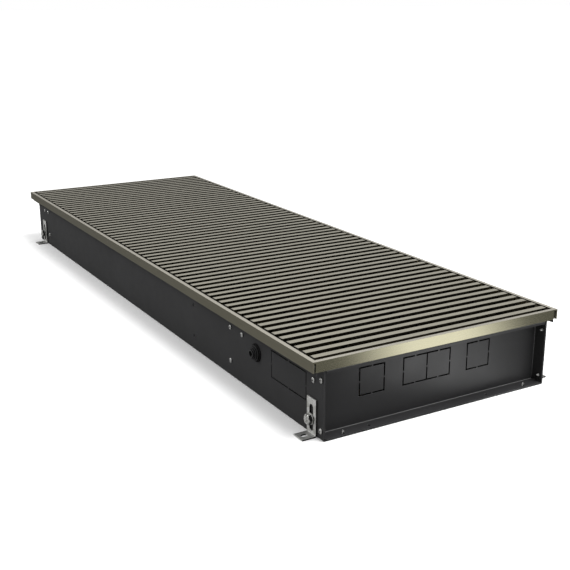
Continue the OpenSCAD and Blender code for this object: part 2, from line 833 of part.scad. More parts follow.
// Two crossflow wheels: blades between flat rings, with a hub at each end
module fan_wheels() {
    color([0.20, 0.20, 0.21]) at_fan() for (w = [0, 1]) {
        y0 = wheel_span(w)[0];
        y1 = wheel_span(w)[1];
        run_y(y0, y1) for (b = [0 : blade_count - 1]) rotate(b * 360 / blade_count) blade_section();
        for (i = [0 : rings_per_wheel - 1]) {
            y = y0 + (y1 - y0 - ring_t) * i / (rings_per_wheel - 1);
            outer = i == 0 || i == rings_per_wheel - 1;
            run_y(y, y + ring_t) difference() {
                circle(wheel_r + 0.2);
                circle(outer ? shaft_r : wheel_in_r - 2);
            }
        }
        for (y = [y0, y1 - 8]) difference() {
            rod_y(shaft_r + 4, y, y + 8);
            rod_y(shaft_r, y - cut, y + 8 + cut);
        }
    }
}

module fan_shaft() {
    color([0.78, 0.79, 0.80]) at_fan() rod_y(shaft_r, motor_y[1] - 20, plate_at[2] + fan_plate_t + bearing_l);
}

module fan_bearings() {
    color([0.60, 0.56, 0.40]) at_fan() for (y = plate_at) translate([0, y + (fan_plate_t - bearing_l) / 2, 0])
        difference() {
            rod_y(bearing_r, 0, bearing_l);
            rod_y(shaft_r + running_gap, -cut, bearing_l + cut);
        }
}

// The fan's cross plates, which carry the bearings and stand on the trough's floor
module fan_plates() {
    left = fan_x - scroll_r - scroll_t - 3;
    width = scroll_end_x - left;
    top = 84;
    corner = 14;
    color([0.62, 0.63, 0.65]) for (y = plate_at) run_y(y, y + fan_plate_t) difference() {
        union() {
            translate([left, floor_z]) square([width, top - floor_z - corner]);
            translate([left + corner, top - 2 * corner]) square([width - 2 * corner, 2 * corner]);
            for (x = [left + corner, scroll_end_x - corner]) translate([x, top - corner]) circle(corner);
        }
        translate([fan_x, fan_z]) circle(bearing_r);
    }
}

// The curved back of the fan's housing, which leads the air round to the coil
module fan_scroll() {
    floor_run = scroll_end_x - fan_x;
    color([0.55, 0.56, 0.58]) at_fan() for (i = [0, 1])
        run_y(plate_at[i] + fan_plate_t + 0.2, plate_at[i + 1] - 0.2) {
            ring_sector(scroll_r, scroll_t, 110, 190);
            ring_sector(scroll_r, scroll_t, 190, 270);
            translate([0, -scroll_r - scroll_t]) square([floor_run, scroll_t]);
            translate([floor_run - scroll_t, -scroll_r - scroll_t]) square([scroll_t, 5]);
        }
}

// The tongue that parts the wheel's intake from its outlet
module fan_tongue() {
    lead_run = 30;
    end_angle = 48;
    color([0.55, 0.56, 0.58]) at_fan() for (i = [0, 1])
        run_y(plate_at[i] + fan_plate_t + 0.2, plate_at[i + 1] - 0.2) {
            ring_sector(tongue_r, scroll_t, 20, end_angle);
            rotate(end_angle) translate([tongue_r, 0]) square([scroll_t, 6]);
            rotate(20) translate([tongue_r, -scroll_t]) square([lead_run, scroll_t]);
        }
}

// The motor: a finned can with end caps and a round boss for the shaft
module fan_motor() {
    color([0.16, 0.16, 0.17]) at_fan() difference() {
        union() {
            rod_y(motor_r - 2, motor_y[0], motor_y[1]);
            rod_y(motor_r, motor_y[0] + 4, motor_y[0] + 9);
            rod_y(motor_r, motor_y[1] - 9, motor_y[1] - 4);
            rod_y(bearing_r - 0.1, motor_y[1], motor_y[1] + 1.4);
            for (a = [0 : 20 : 340]) rotate([0, a, 0])
                translate([-1, motor_y[0] + 8, motor_r - 4]) cube([2, motor_y[1] - motor_y[0] - 16, 3.5]);
        }
        rod_y(shaft_r + running_gap, motor_y[1] - 21, motor_y[1] + 3);
    }
}

// An angle on the trough's floor that the motor is screwed to
module motor_bracket() {
    out = bend_r + fan_plate_t;
    color([0.62, 0.63, 0.65]) difference() {
        run_x(fan_x - 28, fan_x + 28) translate([motor_y[1] + fan_plate_t - 22, floor_z])
            bent_sheet([22 - out, 90, fan_z + 18 - floor_z - out], fan_plate_t, bend_r);
        at_fan() rod_y(bearing_r, motor_y[1] - 5, motor_y[1] + 5);
    }
}

// The rubber sleeve that joins the two halves of the drive
module motor_coupling() {
    color([0.07, 0.07, 0.07]) at_fan() difference() {
        union() {
            rod_y(coupling_r, coupling_y[0], coupling_y[0] + 3.5);
            rod_y(coupling_r - 2, coupling_y[0], coupling_y[1]);
            rod_y(coupling_r, coupling_y[1] - 3.5, coupling_y[1]);
        }
        rod_y(shaft_r, coupling_y[0] - cut, coupling_y[1] + cut);
    }
}

// ---- Control box -----------------------------------------------------------------------------

// A box outline with round corners, in X and Y
module round_outline(size, r) {
    translate([r, 0]) square([size[0] - 2 * r, size[1]]);
    translate([0, r]) square([size[0], size[1] - 2 * r]);
    for (x = [r, size[0] - r], y = [r, size[1] - r]) translate([x, y]) circle(r, $fn = 32);
}

module at_box_corners() {
    inset = 5.5;
    for (x = [inset, box_size[0] - inset], y = [inset, box_size[1] - inset]) translate([x, y, 0]) children();
}

module at_box() translate([box_at[0], box_at[1], floor_z]) children();

module control_box() {
    inner = [box_size[0] - 2 * box_wall, box_size[1] - 2 * box_wall];
    color([0.30, 0.31, 0.32]) at_box() difference() {
        union() {
            difference() {
                linear_extrude(box_size[2]) round_outline(box_size, box_corner_r);
                translate([box_wall, box_wall, box_wall])
                    linear_extrude(box_size[2]) round_outline(inner, box_corner_r - 1);
            }
            at_box_corners() cylinder(r = 4.2, h = box_size[2]);
        }
        at_box_corners() translate([0, 0, box_size[2] - 12]) cylinder(r = 1.3, h = 13);
        translate([lead_at_x - box_at[0], box_size[1], lead_z - floor_z]) rod_y(lead_r, -5, 5);
    }
}

module control_box_lid() {
    color([0.34, 0.35, 0.36]) at_box() translate([0, 0, box_size[2]]) difference() {
        linear_extrude(lid_t) round_outline(box_size, box_corner_r);
        at_box_corners() translate([0, 0, -cut]) cylinder(r = 1.6, h = lid_t + 2 * cut);
    }
}

module control_box_screws() {
    color([0.72, 0.73, 0.75]) at_box() at_box_corners() {
        translate([0, 0, box_size[2] + lid_t]) difference() {
            cylinder(r = 2.6, h = 1.6);
            translate([-3, -0.4, 0.8]) cube([6, 0.8, 1]);
        }
        translate([0, 0, box_size[2] - 8]) cylinder(r = 1.25, h = 8 + lid_t);
    }
}

// Screw terminals on the floor of the control box
module terminal_block() {
    ways = 6;
    way_w = 9;
    color([0.85, 0.85, 0.82]) at_box() translate([18, 24, box_wall]) difference() {
        union() {
            cube([ways * way_w, 20, 9]);
            for (i = [0 : ways - 1]) translate([i * way_w + 1, 4, 9]) cube([way_w - 2, 12, 7]);
        }
        for (i = [0 : ways - 1], y = [7, 13]) translate([(i + 0.5) * way_w, y, 9]) cylinder(r = 1.6, h = 8);
    }
}

// The lead from the control box to the motor, through the front partition
module motor_lead() {
    color([0.06, 0.06, 0.06]) translate([lead_at_x, 0, lead_z])
        rod_y(lead_r, box_at[1] + box_size[1] - box_wall, motor_y[0]);
}

module lead_grommet() {
    y = partition_y[0];
    color([0.05, 0.05, 0.05]) translate([lead_at_x, 0, lead_z]) difference() {
        union() {
            rod_y(5, y - 2, y + 3);
            rod_y(7, y - 2, y);
            rod_y(7, y + sheet_t, y + 3);
        }
        rod_y(lead_r, y - 3, y + 4);
    }
}

// The protective-earth stud on the floor, with its nut and washer
module earth_stud() {
    color([0.78, 0.62, 0.30]) translate([-60, -500, floor_z]) {
        cylinder(r = 2.5, h = 16);
        cylinder(r = 6, h = 1.2);
        translate([0, 0, 1.2]) cylinder(r = 4.6, h = 4, $fn = 6);
    }
}

trough();
front_end_plate();
rear_end_plate();
front_partition();
rear_partition();
front_cover_plate();
rear_cover_plate();
left_frame_rail();
right_frame_rail();
front_frame_rail();
rear_frame_rail();
frame_corner_keys();
frame_screws();
cushion_strips();
grille_slats();
grille_strings();
grille_spacers();
front_left_foot();
front_right_foot();
rear_left_foot();
rear_right_foot();
foot_bolts();
foot_washers();
foot_rivet_nuts();
side_screws();
floor_screws();
cable_grommet();
coil_tubes();
coil_bends();
coil_fins();
coil_end_plates();
pipe_connectors();
connector_bracket();
vent_body();
vent_screw();
fan_wheels();
fan_shaft();
fan_bearings();
fan_plates();
fan_scroll();
fan_tongue();
fan_motor();
motor_bracket();
motor_coupling();
control_box();
control_box_lid();
control_box_screws();
terminal_block();
motor_lead();
lead_grommet();
earth_stud();
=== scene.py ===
"""Looks of a trench convector heater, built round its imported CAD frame.

X runs across the trench, Y along it and Z up, in metres. The pipe and cable end is at -Y.
Detailed pieces stand in for CAD nodes. Each Shape is drawn in millimetres and scaled once.
"""

import json
import math
import random

import bmesh
import bpy
from mathutils import Matrix, Vector

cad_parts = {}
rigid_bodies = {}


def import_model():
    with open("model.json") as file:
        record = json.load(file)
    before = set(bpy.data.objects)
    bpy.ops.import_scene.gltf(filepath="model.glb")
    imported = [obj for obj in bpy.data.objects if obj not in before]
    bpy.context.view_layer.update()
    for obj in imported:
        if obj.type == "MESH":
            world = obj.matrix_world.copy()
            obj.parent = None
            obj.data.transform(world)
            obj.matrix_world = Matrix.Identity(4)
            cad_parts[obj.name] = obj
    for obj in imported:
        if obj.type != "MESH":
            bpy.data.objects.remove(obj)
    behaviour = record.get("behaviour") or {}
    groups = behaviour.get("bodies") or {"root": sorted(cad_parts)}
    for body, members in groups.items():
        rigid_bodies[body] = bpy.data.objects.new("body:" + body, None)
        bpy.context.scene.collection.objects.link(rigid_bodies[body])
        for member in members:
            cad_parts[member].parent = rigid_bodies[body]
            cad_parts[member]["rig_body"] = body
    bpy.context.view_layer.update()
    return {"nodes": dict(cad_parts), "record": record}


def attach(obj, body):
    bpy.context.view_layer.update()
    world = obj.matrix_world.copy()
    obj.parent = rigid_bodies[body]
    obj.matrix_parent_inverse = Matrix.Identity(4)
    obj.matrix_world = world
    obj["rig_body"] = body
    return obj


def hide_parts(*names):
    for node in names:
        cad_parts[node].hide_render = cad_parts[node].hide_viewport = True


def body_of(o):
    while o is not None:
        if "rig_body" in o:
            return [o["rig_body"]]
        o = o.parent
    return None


MM = 0.001

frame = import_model()
scene = bpy.context.scene


# ---- Materials -------------------------------------------------------------------------------


class Nodes:
    """Short calls for the nodes of one shader tree."""

    def __init__(self, tree):
        self.tree = tree

    def feed(self, socket, value):
        """Gives a socket a plain value, or links an output to it."""
        if isinstance(value, bpy.types.NodeSocket):
            self.tree.links.new(value, socket)
        else:
            socket.default_value = value

    def node(self, kind, inputs, **settings):
        node = self.tree.nodes.new(kind)
        for key, value in settings.items():
            setattr(node, key, value)
        for key, value in inputs.items():
            self.feed(node.inputs[key], value)
        return node

    def coordinates(self, kind):
        return self.node("ShaderNodeTexCoord", {}).outputs[kind]

    def split(self, vector):
        """The X, Y and Z outputs of a vector."""
        return self.node("ShaderNodeSeparateXYZ", {"Vector": vector}).outputs

    def maths(self, operation, a, b=0.0):
        node = self.node("ShaderNodeMath", {}, operation=operation)
        self.feed(node.inputs[0], a)
        self.feed(node.inputs[1], b)
        return node.outputs["Value"]

    def ranged(self, value, low, high, from_low=0.25, from_high=0.75):
        """A value stretched from one range to another and held inside it."""
        return self.node("ShaderNodeMapRange", {
            "Value": value, "From Min": from_low, "From Max": from_high,
            "To Min": low, "To Max": high}).outputs["Result"]

    def mixed(self, factor, a, b):
        """Colour a, turning into colour b as the factor goes from 0 to 1."""
        node = self.node("ShaderNodeMix", {}, data_type="RGBA")
        sockets = {s.identifier: s for s in node.inputs}
        self.feed(sockets["Factor_Float"], factor)
        for identifier, colour in (("A_Color", a), ("B_Color", b)):
            self.feed(sockets[identifier], (*colour, 1.0) if isinstance(colour, tuple) else colour)
        return {s.identifier: s for s in node.outputs}["Result_Color"]

    def rays(self):
        """Two outputs: 1 for the camera's own rays, and 1 for rays of reflections or through clear pieces."""
        ray = self.node("ShaderNodeLightPath", {}).outputs
        mirrored = self.maths("MAXIMUM", ray["Is Glossy Ray"], ray["Is Transmission Ray"])
        return ray["Is Camera Ray"], mirrored


class Finish(Nodes):
    """One procedural material: a Principled shader with short calls for what feeds it."""

    def __init__(self, name, colour, roughness, metallic=0.0, **sockets):
        self.material = bpy.data.materials.new(name)
        self.material.use_nodes = True
        super().__init__(self.material.node_tree)
        self.shader = self.tree.nodes["Principled BSDF"]
        self.set("Base Color", (*colour, 1.0))
        self.set("Roughness", roughness)
        self.set("Metallic", metallic)
        for socket, value in sockets.items():
            self.set(socket.replace("_", " "), value)
        self.place = self.coordinates("Object")

    def set(self, socket, value):
        """Gives one of the shader's sockets a plain value, or links an output to it."""
        self.feed(self.shader.inputs[socket], value)

    def noise(self, scale, detail=3.0, roughness=0.5, stretch=None):
        """Noise with cells of about 1 / scale metres, from 0 to 1, that may be stretched along each axis."""
        vector = self.place
        if stretch:
            vector = self.node("ShaderNodeMapping", {"Vector": vector, "Scale": stretch}).outputs["Vector"]
        return self.node("ShaderNodeTexNoise", {
            "Vector": vector, "Scale": scale, "Detail": detail, "Roughness": roughness}).outputs["Fac"]

    def cells(self, scale, channel):
        """A random number from 0 to 1 for each Voronoi cell of about 1 / scale metres."""
        cells = self.node("ShaderNodeTexVoronoi", {"Vector": self.place, "Scale": scale})
        return self.node("ShaderNodeSeparateColor", {"Color": cells.outputs["Color"]}).outputs[channel]

    def facing(self, axis, low, high):
        """From 0 to 1 as a face turns towards an axis, either way along it for X and Y."""
        along = self.split(self.coordinates("Normal"))[axis]
        if axis != "Z":
            along = self.maths("ABSOLUTE", along)
        return self.ranged(along, 0.0, 1.0, low, high)

    def relief(self, height, distance, strength):
        """Bumps up to a distance in metres, from a height of 0 to 1."""
        bumps = self.node("ShaderNodeBump", {"Height": height, "Distance": distance, "Strength": strength})
        self.set("Normal", bumps.outputs["Normal"])


def powder_coat(name, colour, roughness, bend=None, side=None):
    """Fine-textured black powder coat: orange peel, a slightly uneven sheen and faint dust.

    Slanting faces may take `bend`, a painted highlight, and faces across X `side`, a painted shade with less
    sheen.
    """
    look = Finish(name, colour, roughness, Specular_IOR_Level=0.5)
    peel = look.noise(900, detail=2.0)
    patches = look.noise(9, detail=4.0)
    lighter = tuple(1.3 * c for c in colour)
    face = look.mixed(look.ranged(patches, 0.0, 1.0), colour, lighter)
    if bend:
        # painted highlight: slanting faces, where the sheet bends, take the lighter bend colour
        bend_highlight = look.maths("MULTIPLY", look.facing("Z", 0.15, 0.4), look.facing("Z", 0.97, 0.75))
        face = look.mixed(bend_highlight, face, bend)
    uneven = look.ranged(look.noise(24, detail=5.0), roughness - 0.06, roughness + 0.06)
    if side:
        # painted shade: faces turned along X take the darker side colour, as the shaded sides of the end
        # recess
        across = look.facing("X", 0.6, 0.9)
        face = look.mixed(across, face, side)
        uneven = look.maths("MAXIMUM", uneven, look.ranged(across, 0.0, 0.85, 0.0, 1.0))
    look.set("Base Color", face)
    look.set("Roughness", uneven)
    look.relief(peel, 0.12 * MM, 0.35)
    return look.material


# Dark colour for the flanks and cut ends of the bronze pieces: painted shade
FLANK_SHADE = (0.045, 0.038, 0.020)
DIE_LINES_PER_METRE = 2600
FAR = 10.0


def anodised(name, colour, dark, roughness, along, anisotropy=0.0, top=None, inside=FAR, tip=FAR):
    """Bronze anodised extrusion with fine die lines along one axis, and a painted shade on its flanks.

    Its top may have a lighter colour, a painted highlight. Flanks further out than `inside` metres from the
    heater's middle keep the face colour, and beyond `tip` metres along the extrusion its cut ends take the
    painted shade too.
    """
    look = Finish(name, colour, roughness, metallic=1.0)
    stretch = [1.0, 1.0, 1.0]
    stretch[along] = 0.006
    lines = look.noise(DIE_LINES_PER_METRE, stretch=tuple(stretch))
    tone = look.maths("ADD", look.maths("MULTIPLY", lines, 0.7), look.maths("MULTIPLY", look.noise(14), 0.3))
    face = look.mixed(look.ranged(tone, 0.0, 1.0, 0.3, 0.7), dark, colour)
    up = look.facing("Z", 0.75, 0.95)
    # painted highlight: up-facing faces take the lighter top colour
    if top:
        face = look.mixed(up, face, top)
    # painted shade: the rails' inner flanks, the slats' flanks and their cut ends take the dark flank colour
    at = look.split(look.place)
    outside = look.maths("GREATER_THAN", look.maths("ABSOLUTE", at[1 - along]), inside)
    short = look.maths("LESS_THAN", look.maths("ABSOLUTE", at[along]), tip)
    face = look.mixed(look.maths("MULTIPLY", look.maths("MAXIMUM", up, outside), short), FLANK_SHADE, face)
    look.set("Base Color", face)
    look.set("Roughness", look.ranged(lines, roughness - 0.04, roughness + 0.06))
    if anisotropy:
        direction = [0.0, 0.0, 0.0]
        direction[along] = 1.0
        tangent = look.node("ShaderNodeCombineXYZ", dict(zip(("X", "Y", "Z"), direction)))
        look.set("Tangent", tangent.outputs["Vector"])
        look.set("Anisotropic", anisotropy)
        look.set("Anisotropic Rotation", 0.25)
    look.relief(lines, 0.02 * MM, 0.5)
    return look.material


# Up-facing zinc is darker and zinc turned along Y near black: painted shade
ZINC_TOP_SHADE = (0.26, 0.26, 0.25)
ZINC_SIDE_SHADE = (0.02, 0.02, 0.02)


def plated(name, colour, tint, roughness, metallic, cell=160, relief=0.03):
    """Bright zinc plating with crystal patches; a painted shade darkens its up-facing faces, and one near
    black its faces turned along Y.
    """
    look = Finish(name, colour, roughness, metallic=metallic)
    face = look.mixed(look.ranged(look.cells(cell, "Red"), 0.0, 1.0, 0.0, 1.0), colour, tint)
    # painted shade: up-facing faces take a darker colour
    face = look.mixed(look.facing("Z", 0.5, 0.9), face, ZINC_TOP_SHADE)
    # painted shade: faces turned along Y are near black
    look.set("Base Color", look.mixed(look.facing("Y", 0.45, 0.8), face, ZINC_SIDE_SHADE))
    look.set("Roughness", look.ranged(look.noise(60, detail=5.0), roughness - 0.08, roughness + 0.12))
    look.relief(look.noise(700, detail=4.0), relief * MM, 0.4)
    return look.material


def galvanised(name, colour, dark, bright):
    """Hot-dip galvanised sheet with its spangle."""
    look = Finish(name, colour, 0.42, metallic=1.0)
    grey = look.cells(70, "Green")
    look.set("Base Color", look.mixed(look.ranged(grey, 0.0, 1.0, 0.0, 1.0), dark, bright))
    look.set("Roughness", look.ranged(grey, 0.32, 0.55, 0.0, 1.0))
    look.relief(look.noise(320), 0.03 * MM, 0.4)
    return look.material


def bare_metal(name, colour, worn, roughness, grain=420):
    """A drawn or turned metal with a light patina."""
    look = Finish(name, colour, roughness, metallic=1.0)
    patina = look.noise(55, detail=6.0, roughness=0.6)
    look.set("Base Color", look.mixed(look.ranged(patina, 0.0, 1.0, 0.35, 0.7), colour, worn))
    look.set("Roughness", look.ranged(patina, roughness - 0.06, roughness + 0.14))
    look.relief(look.noise(grain), 0.02 * MM, 0.5)
    return look.material


# X in metres, beyond which the grommet's flat faces begin to take their painted light colour, and have it in
# full
FLATS_FROM = -0.1880
FLATS_FULL = -0.1885


def moulded(name, colour, roughness, texture=1100, depth=0.05, patch=0.25, flat=None):
    """Moulded plastic or rubber with a fine eroded texture; the grommet's flat faces may take `flat`, a
    painted light colour.
    """
    look = Finish(name, colour, roughness, Specular_IOR_Level=0.45)
    patches = look.noise(30, detail=4.0)
    lighter = tuple((1.0 + patch) * c for c in colour)
    face = look.mixed(look.ranged(patches, 0.0, 1.0), colour, lighter)
    if flat:
        out = look.ranged(look.split(look.place)["X"], 1.0, 0.0, FLATS_FULL, FLATS_FROM)
        painted_light_flats = look.maths("MULTIPLY", look.facing("X", 0.8, 0.95), out)
        face = look.mixed(painted_light_flats, face, flat)
        look.set("Roughness", look.ranged(painted_light_flats, 0.9, roughness, 0.0, 1.0))
    else:
        look.set("Roughness", look.ranged(patches, roughness - 0.05, roughness + 0.08))
    look.set("Base Color", face)
    look.relief(look.noise(texture, detail=2.0), depth * MM, 0.5)
    return look.material


BRONZE = (0.50, 0.475, 0.365)
BRONZE_DARK = (0.42, 0.395, 0.290)
# The end rails' bronze is a slightly darker copy of the side rails' bronze: painted shade
SHADED_END_BRONZE = (0.49, 0.467, 0.335)
SHADED_END_BRONZE_DARK = (0.41, 0.39, 0.27)
# Lighter colour for the rails' up-facing faces: a painted highlight
BRONZE_TOP_HIGHLIGHT = (0.82, 0.78, 0.67)
SLAT = (0.76, 0.72, 0.59)
SLAT_DARK = (0.66, 0.625, 0.495)

# Metres from the heater's middle, within which rails' flanks take the painted shade, and beyond which slats'
# cut ends take it
SIDE_RAIL_OUTER = 0.1965
END_RAIL_OUTER = 0.5950
SLAT_TIP = 0.1922

finishes = {
    "black_steel": powder_coat("black_powder_coat", (0.038, 0.038, 0.039), 0.50),
    # The ends' bend colour is a painted highlight on the bends, and their side colour a painted shade on the
    # recess sides
    "black_steel_ends": powder_coat("black_powder_coat_ends", (0.030, 0.030, 0.031), 0.36,
                                    bend=(0.22, 0.22, 0.22), side=(0.008, 0.008, 0.008)),
    "bronze_aluminium": anodised("bronze_rail_along_y", BRONZE, BRONZE_DARK, 0.34, along=1, anisotropy=0.7,
                                 top=BRONZE_TOP_HIGHLIGHT, inside=SIDE_RAIL_OUTER),
    "rail_along_x": anodised("bronze_rail_along_x", SHADED_END_BRONZE, SHADED_END_BRONZE_DARK, 0.26, along=0,
                             anisotropy=0.8, top=BRONZE_TOP_HIGHLIGHT, inside=END_RAIL_OUTER),
    "slat_aluminium": anodised("bronze_slat", SLAT, SLAT_DARK, 0.24, along=0, tip=SLAT_TIP),
    "zinc_steel": plated("zinc_plate", (0.95, 0.95, 0.93), (0.66, 0.66, 0.62), 0.34, metallic=0.35),
    "zinc_fastener": plated("zinc_fastener", (0.98, 0.98, 0.96), (0.80, 0.80, 0.77), 0.16, metallic=0.6,
                            cell=420),
    "zinc_bolt": plated("zinc_bolt", (1.0, 1.0, 0.98), (0.36, 0.36, 0.33), 0.16, metallic=0.35, cell=520,
                        relief=0.25),
    "galvanised_sheet": galvanised("galvanised_sheet", (0.56, 0.57, 0.58), (0.40, 0.41, 0.42),
                                   (0.68, 0.69, 0.70)),
    "stainless_steel": bare_metal("stainless_steel", (0.62, 0.62, 0.61), (0.50, 0.50, 0.49), 0.24),
    # The rubber's near-black base stands in for shade on the grommet's sides: painted shade; its flat colour
    # is painted light on the grommet's flat faces
    "black_rubber": moulded("black_rubber", (0.002, 0.002, 0.002), 0.45, texture=1500, depth=0.02,
                            flat=(0.045, 0.045, 0.046)),
    "black_plastic": moulded("black_plastic", (0.018, 0.018, 0.020), 0.42),
    "grey_plastic": moulded("grey_plastic", (0.075, 0.080, 0.085), 0.48),
    "white_plastic": moulded("white_plastic", (0.72, 0.71, 0.66), 0.38, patch=0.04),
    "copper": bare_metal("copper", (0.86, 0.46, 0.30), (0.55, 0.26, 0.15), 0.24),
    "fin_aluminium": bare_metal("fin_aluminium", (0.80, 0.81, 0.82), (0.70, 0.71, 0.72), 0.30),
    "brass": bare_metal("brass", (0.80, 0.60, 0.28), (0.58, 0.42, 0.19), 0.26),
    "sintered_bronze": bare_metal("sintered_bronze", (0.50, 0.38, 0.22), (0.32, 0.25, 0.16), 0.48, grain=900),
}

# Nodes whose finish isn't the one of their material slot
OWN_FINISH = {
    "front_frame_rail": "rail_along_x",
    "rear_frame_rail": "rail_along_x",
    # The corner keys are black so the gaps at the frame's corners read dark: painted shade
    "frame_corner_keys": "black_steel",
    "foot_bolts": "zinc_bolt",
    "side_screws": "zinc_fastener",
    "floor_screws": "zinc_fastener",
}

NODE_SLOT = {row["node"]: row["material_slot"] for row in frame["record"]["subparts"]}


def finish_of(node):
    return finishes[OWN_FINISH.get(node, NODE_SLOT[node])]


for node_name, node_object in frame["nodes"].items():
    for material_slot in node_object.material_slots:
        material_slot.material = finish_of(node_name)


# ---- Detailed pieces in place of CAD nodes ---------------------------------------------------

AXIS_TURN = {
    "X": Matrix.Rotation(math.radians(90), 4, "Y"),
    "Y": Matrix.Rotation(math.radians(-90), 4, "X"),
    "Z": Matrix.Identity(4),
}

# Points round the head of a screw and round a hexagon, and how many rings of a screw's head are its rim
HEAD_POINTS = 64
HEX_POINTS = 72
RIM_RINGS = 4


def solids(node):
    """Lowest and highest corners, in millimetres, of each separate solid in a CAD node, in a fixed order."""
    bm = bmesh.new()
    bm.from_mesh(frame["nodes"][node].data)
    bmesh.ops.remove_doubles(bm, verts=bm.verts, dist=0.001 * MM)
    boxes, waiting = [], set(bm.verts)
    while waiting:
        found, edge = set(), [next(iter(waiting))]
        while edge:
            vert = edge.pop()
            if vert in found:
                continue
            found.add(vert)
            edge += [e.other_vert(vert) for e in vert.link_edges]
        waiting -= found
        low, high = ([pick(v.co[i] for v in found) / MM for i in range(3)] for pick in (min, max))
        boxes.append((Vector(low), Vector(high)))
    bm.free()
    return sorted(boxes, key=lambda box: [round(c, 2) for c in (*box[0], *box[1])])


def middle(box):
    return (box[0] + box[1]) / 2


def placed(at, axis="Z", turn=0.0, flip=False):
    """The place of a piece drawn up Z that points along an axis, turned round it by so many degrees."""
    over = Matrix.Rotation(math.pi, 4, "X") if flip else Matrix.Identity(4)
    return Matrix.Translation(at) @ AXIS_TURN[axis] @ over @ Matrix.Rotation(math.radians(turn), 4, "Z")


def out_of_wall(box, sunk=0.0, turn=0.0):
    """The place of a piece that points out of a side wall, from a depth under its box's outer face."""
    centre = middle(box)
    side = 1 if centre.x > 0 else -1
    out = max(abs(box[0].x), abs(box[1].x)) - sunk
    return placed((side * out, centre.y, centre.z), "X", turn, flip=side < 0)


def upright(box, z, turn=0.0):
    """The place of a piece that points up from a height, in the middle of its box."""
    centre = middle(box)
    return placed((centre.x, centre.y, z), turn=turn)


def rearward(box, core=None):
    """The place of a piece that points along Y from the front of its box, in its middle or in its core's."""
    centre = middle(core or box)
    return placed((centre.x, box[0].y, centre.z), "Y")


def eased(outline, width, steps=3, closed=False):
    """An outline with its corners rounded; a corner may give its own width as a third number."""
    points = []
    for i, corner in enumerate(outline):
        here = Vector(corner[:2])
        if not closed and i in (0, len(outline) - 1):
            points.append(here)
            continue
        before, after = (Vector(outline[k % len(outline)][:2]) - here for k in (i - 1, i + 1))
        reach = min(corner[2] if len(corner) > 2 else width, 0.45 * before.length, 0.45 * after.length)
        start, end = here + before.normalized() * reach, here + after.normalized() * reach
        for step in range(steps + 1):
            t = step / steps
            points.append(start * (1 - t) ** 2 + here * 2 * t * (1 - t) + end * t * t)
    return points


def ring(radius, height, count=48):
    """Points round Z; the radius may be a function of the angle, and the height one of angle and radius."""
    points = []
    for i in range(count):
        angle = math.tau * i / count
        r = radius(angle) if callable(radius) else radius
        z = height(angle, r) if callable(height) else height
        points.append((r * math.cos(angle), r * math.sin(angle), z))
    return points


def turned(outline, count=48):
    """Rings of a turned piece from its outline of radius and height; radius 0 is a point on the axis."""
    return [[(0, 0, z)] if r == 0 else ring(r, z, count) for r, z in outline]


def ramp(value):
    return min(1.0, max(0.0, value))


def hexagon(corner_radius, angle):
    return corner_radius * math.cos(math.pi / 6) / math.cos(angle % (math.pi / 3) - math.pi / 6)


def thread(root, crest, pitch, start, end, tip=0.0, count=32):
    """Rings of a screw thread from one height to another; over the tip's length it runs out to a point."""
    length = abs(end - start)
    steps = math.ceil(length / pitch * 8)
    rings = []
    for step in range(steps + 1):
        done = length * step / steps
        z = start + (end - start) * step / steps
        core = root * (0.25 + 0.75 * ramp((length - done) / tip)) if tip else root
        ridge = (crest - root) * ramp(done / pitch) * ramp((length - done) / pitch)
        rings.append(ring(
            lambda a, z=z, core=core, ridge=ridge:
            core + ridge * ramp(1.25 - 2.5 * abs((z / pitch + a / math.tau) % 1 - 0.5)), z, count))
    return rings


def cross_recess_head(radius, height, reach, depth, drop=0.5):
    """Rings of a domed head from its middle out to its rim, with a cross recess."""
    def top(angle, r):
        across, along = sorted((abs(r * math.cos(angle)), abs(r * math.sin(angle))))
        inside = ramp((0.085 * radius + 0.25 - across) / 0.2) * ramp((reach - along) / 0.35)
        return height * (1 - drop * (r / radius) ** 2) - depth * inside * ramp(1.15 - 0.3 * along / reach)

    edge = height * (1 - drop)
    inner = [reach * 1.15 * i / 14 for i in range(1, 15)]
    outer = [r * radius for r in (0.78, 0.88, 0.95)]
    rim = [(radius * 0.99, edge * 0.9), (radius, edge * 0.65), (radius, 0.15), (radius - 0.12, 0)]
    return [[(0, 0, height - depth)], *(ring(r, top, HEAD_POINTS) for r in inner + outer),
            *turned(rim, HEAD_POINTS)]


class Shape:
    """The mesh of one piece, drawn in millimetres."""

    def __init__(self):
        self.bm = bmesh.new()

    def loft(self, rings, place=Matrix.Identity(4), joined=False):
        """Skins rings with equal numbers of points, or single points; open ends are closed with a face."""
        rows = [[self.bm.verts.new(place @ Vector(p)) for p in points] for points in rings]
        for a, b in zip(rows, rows[1:] + rows[:1] if joined else rows[1:]):
            if len(a) != len(b) and 1 not in (len(a), len(b)):
                self.close(a)
                self.close(b)
                continue
            count = max(len(a), len(b))
            for i in range(count):
                j = (i + 1) % count
                corners = [a[i % len(a)], a[j % len(a)], b[j % len(b)], b[i % len(b)]]
                self.bm.faces.new(list(dict.fromkeys(corners)))
        if not joined:
            self.close(rows[0])
            self.close(rows[-1])

    def close(self, row):
        if len(row) > 2:
            self.bm.faces.new(row)

    def finished(self, node, sharp=38):
        bmesh.ops.recalc_face_normals(self.bm, faces=self.bm.faces)
        bmesh.ops.scale(self.bm, vec=(MM,) * 3, verts=self.bm.verts)
        return stand_in(node, self.bm, sharp)


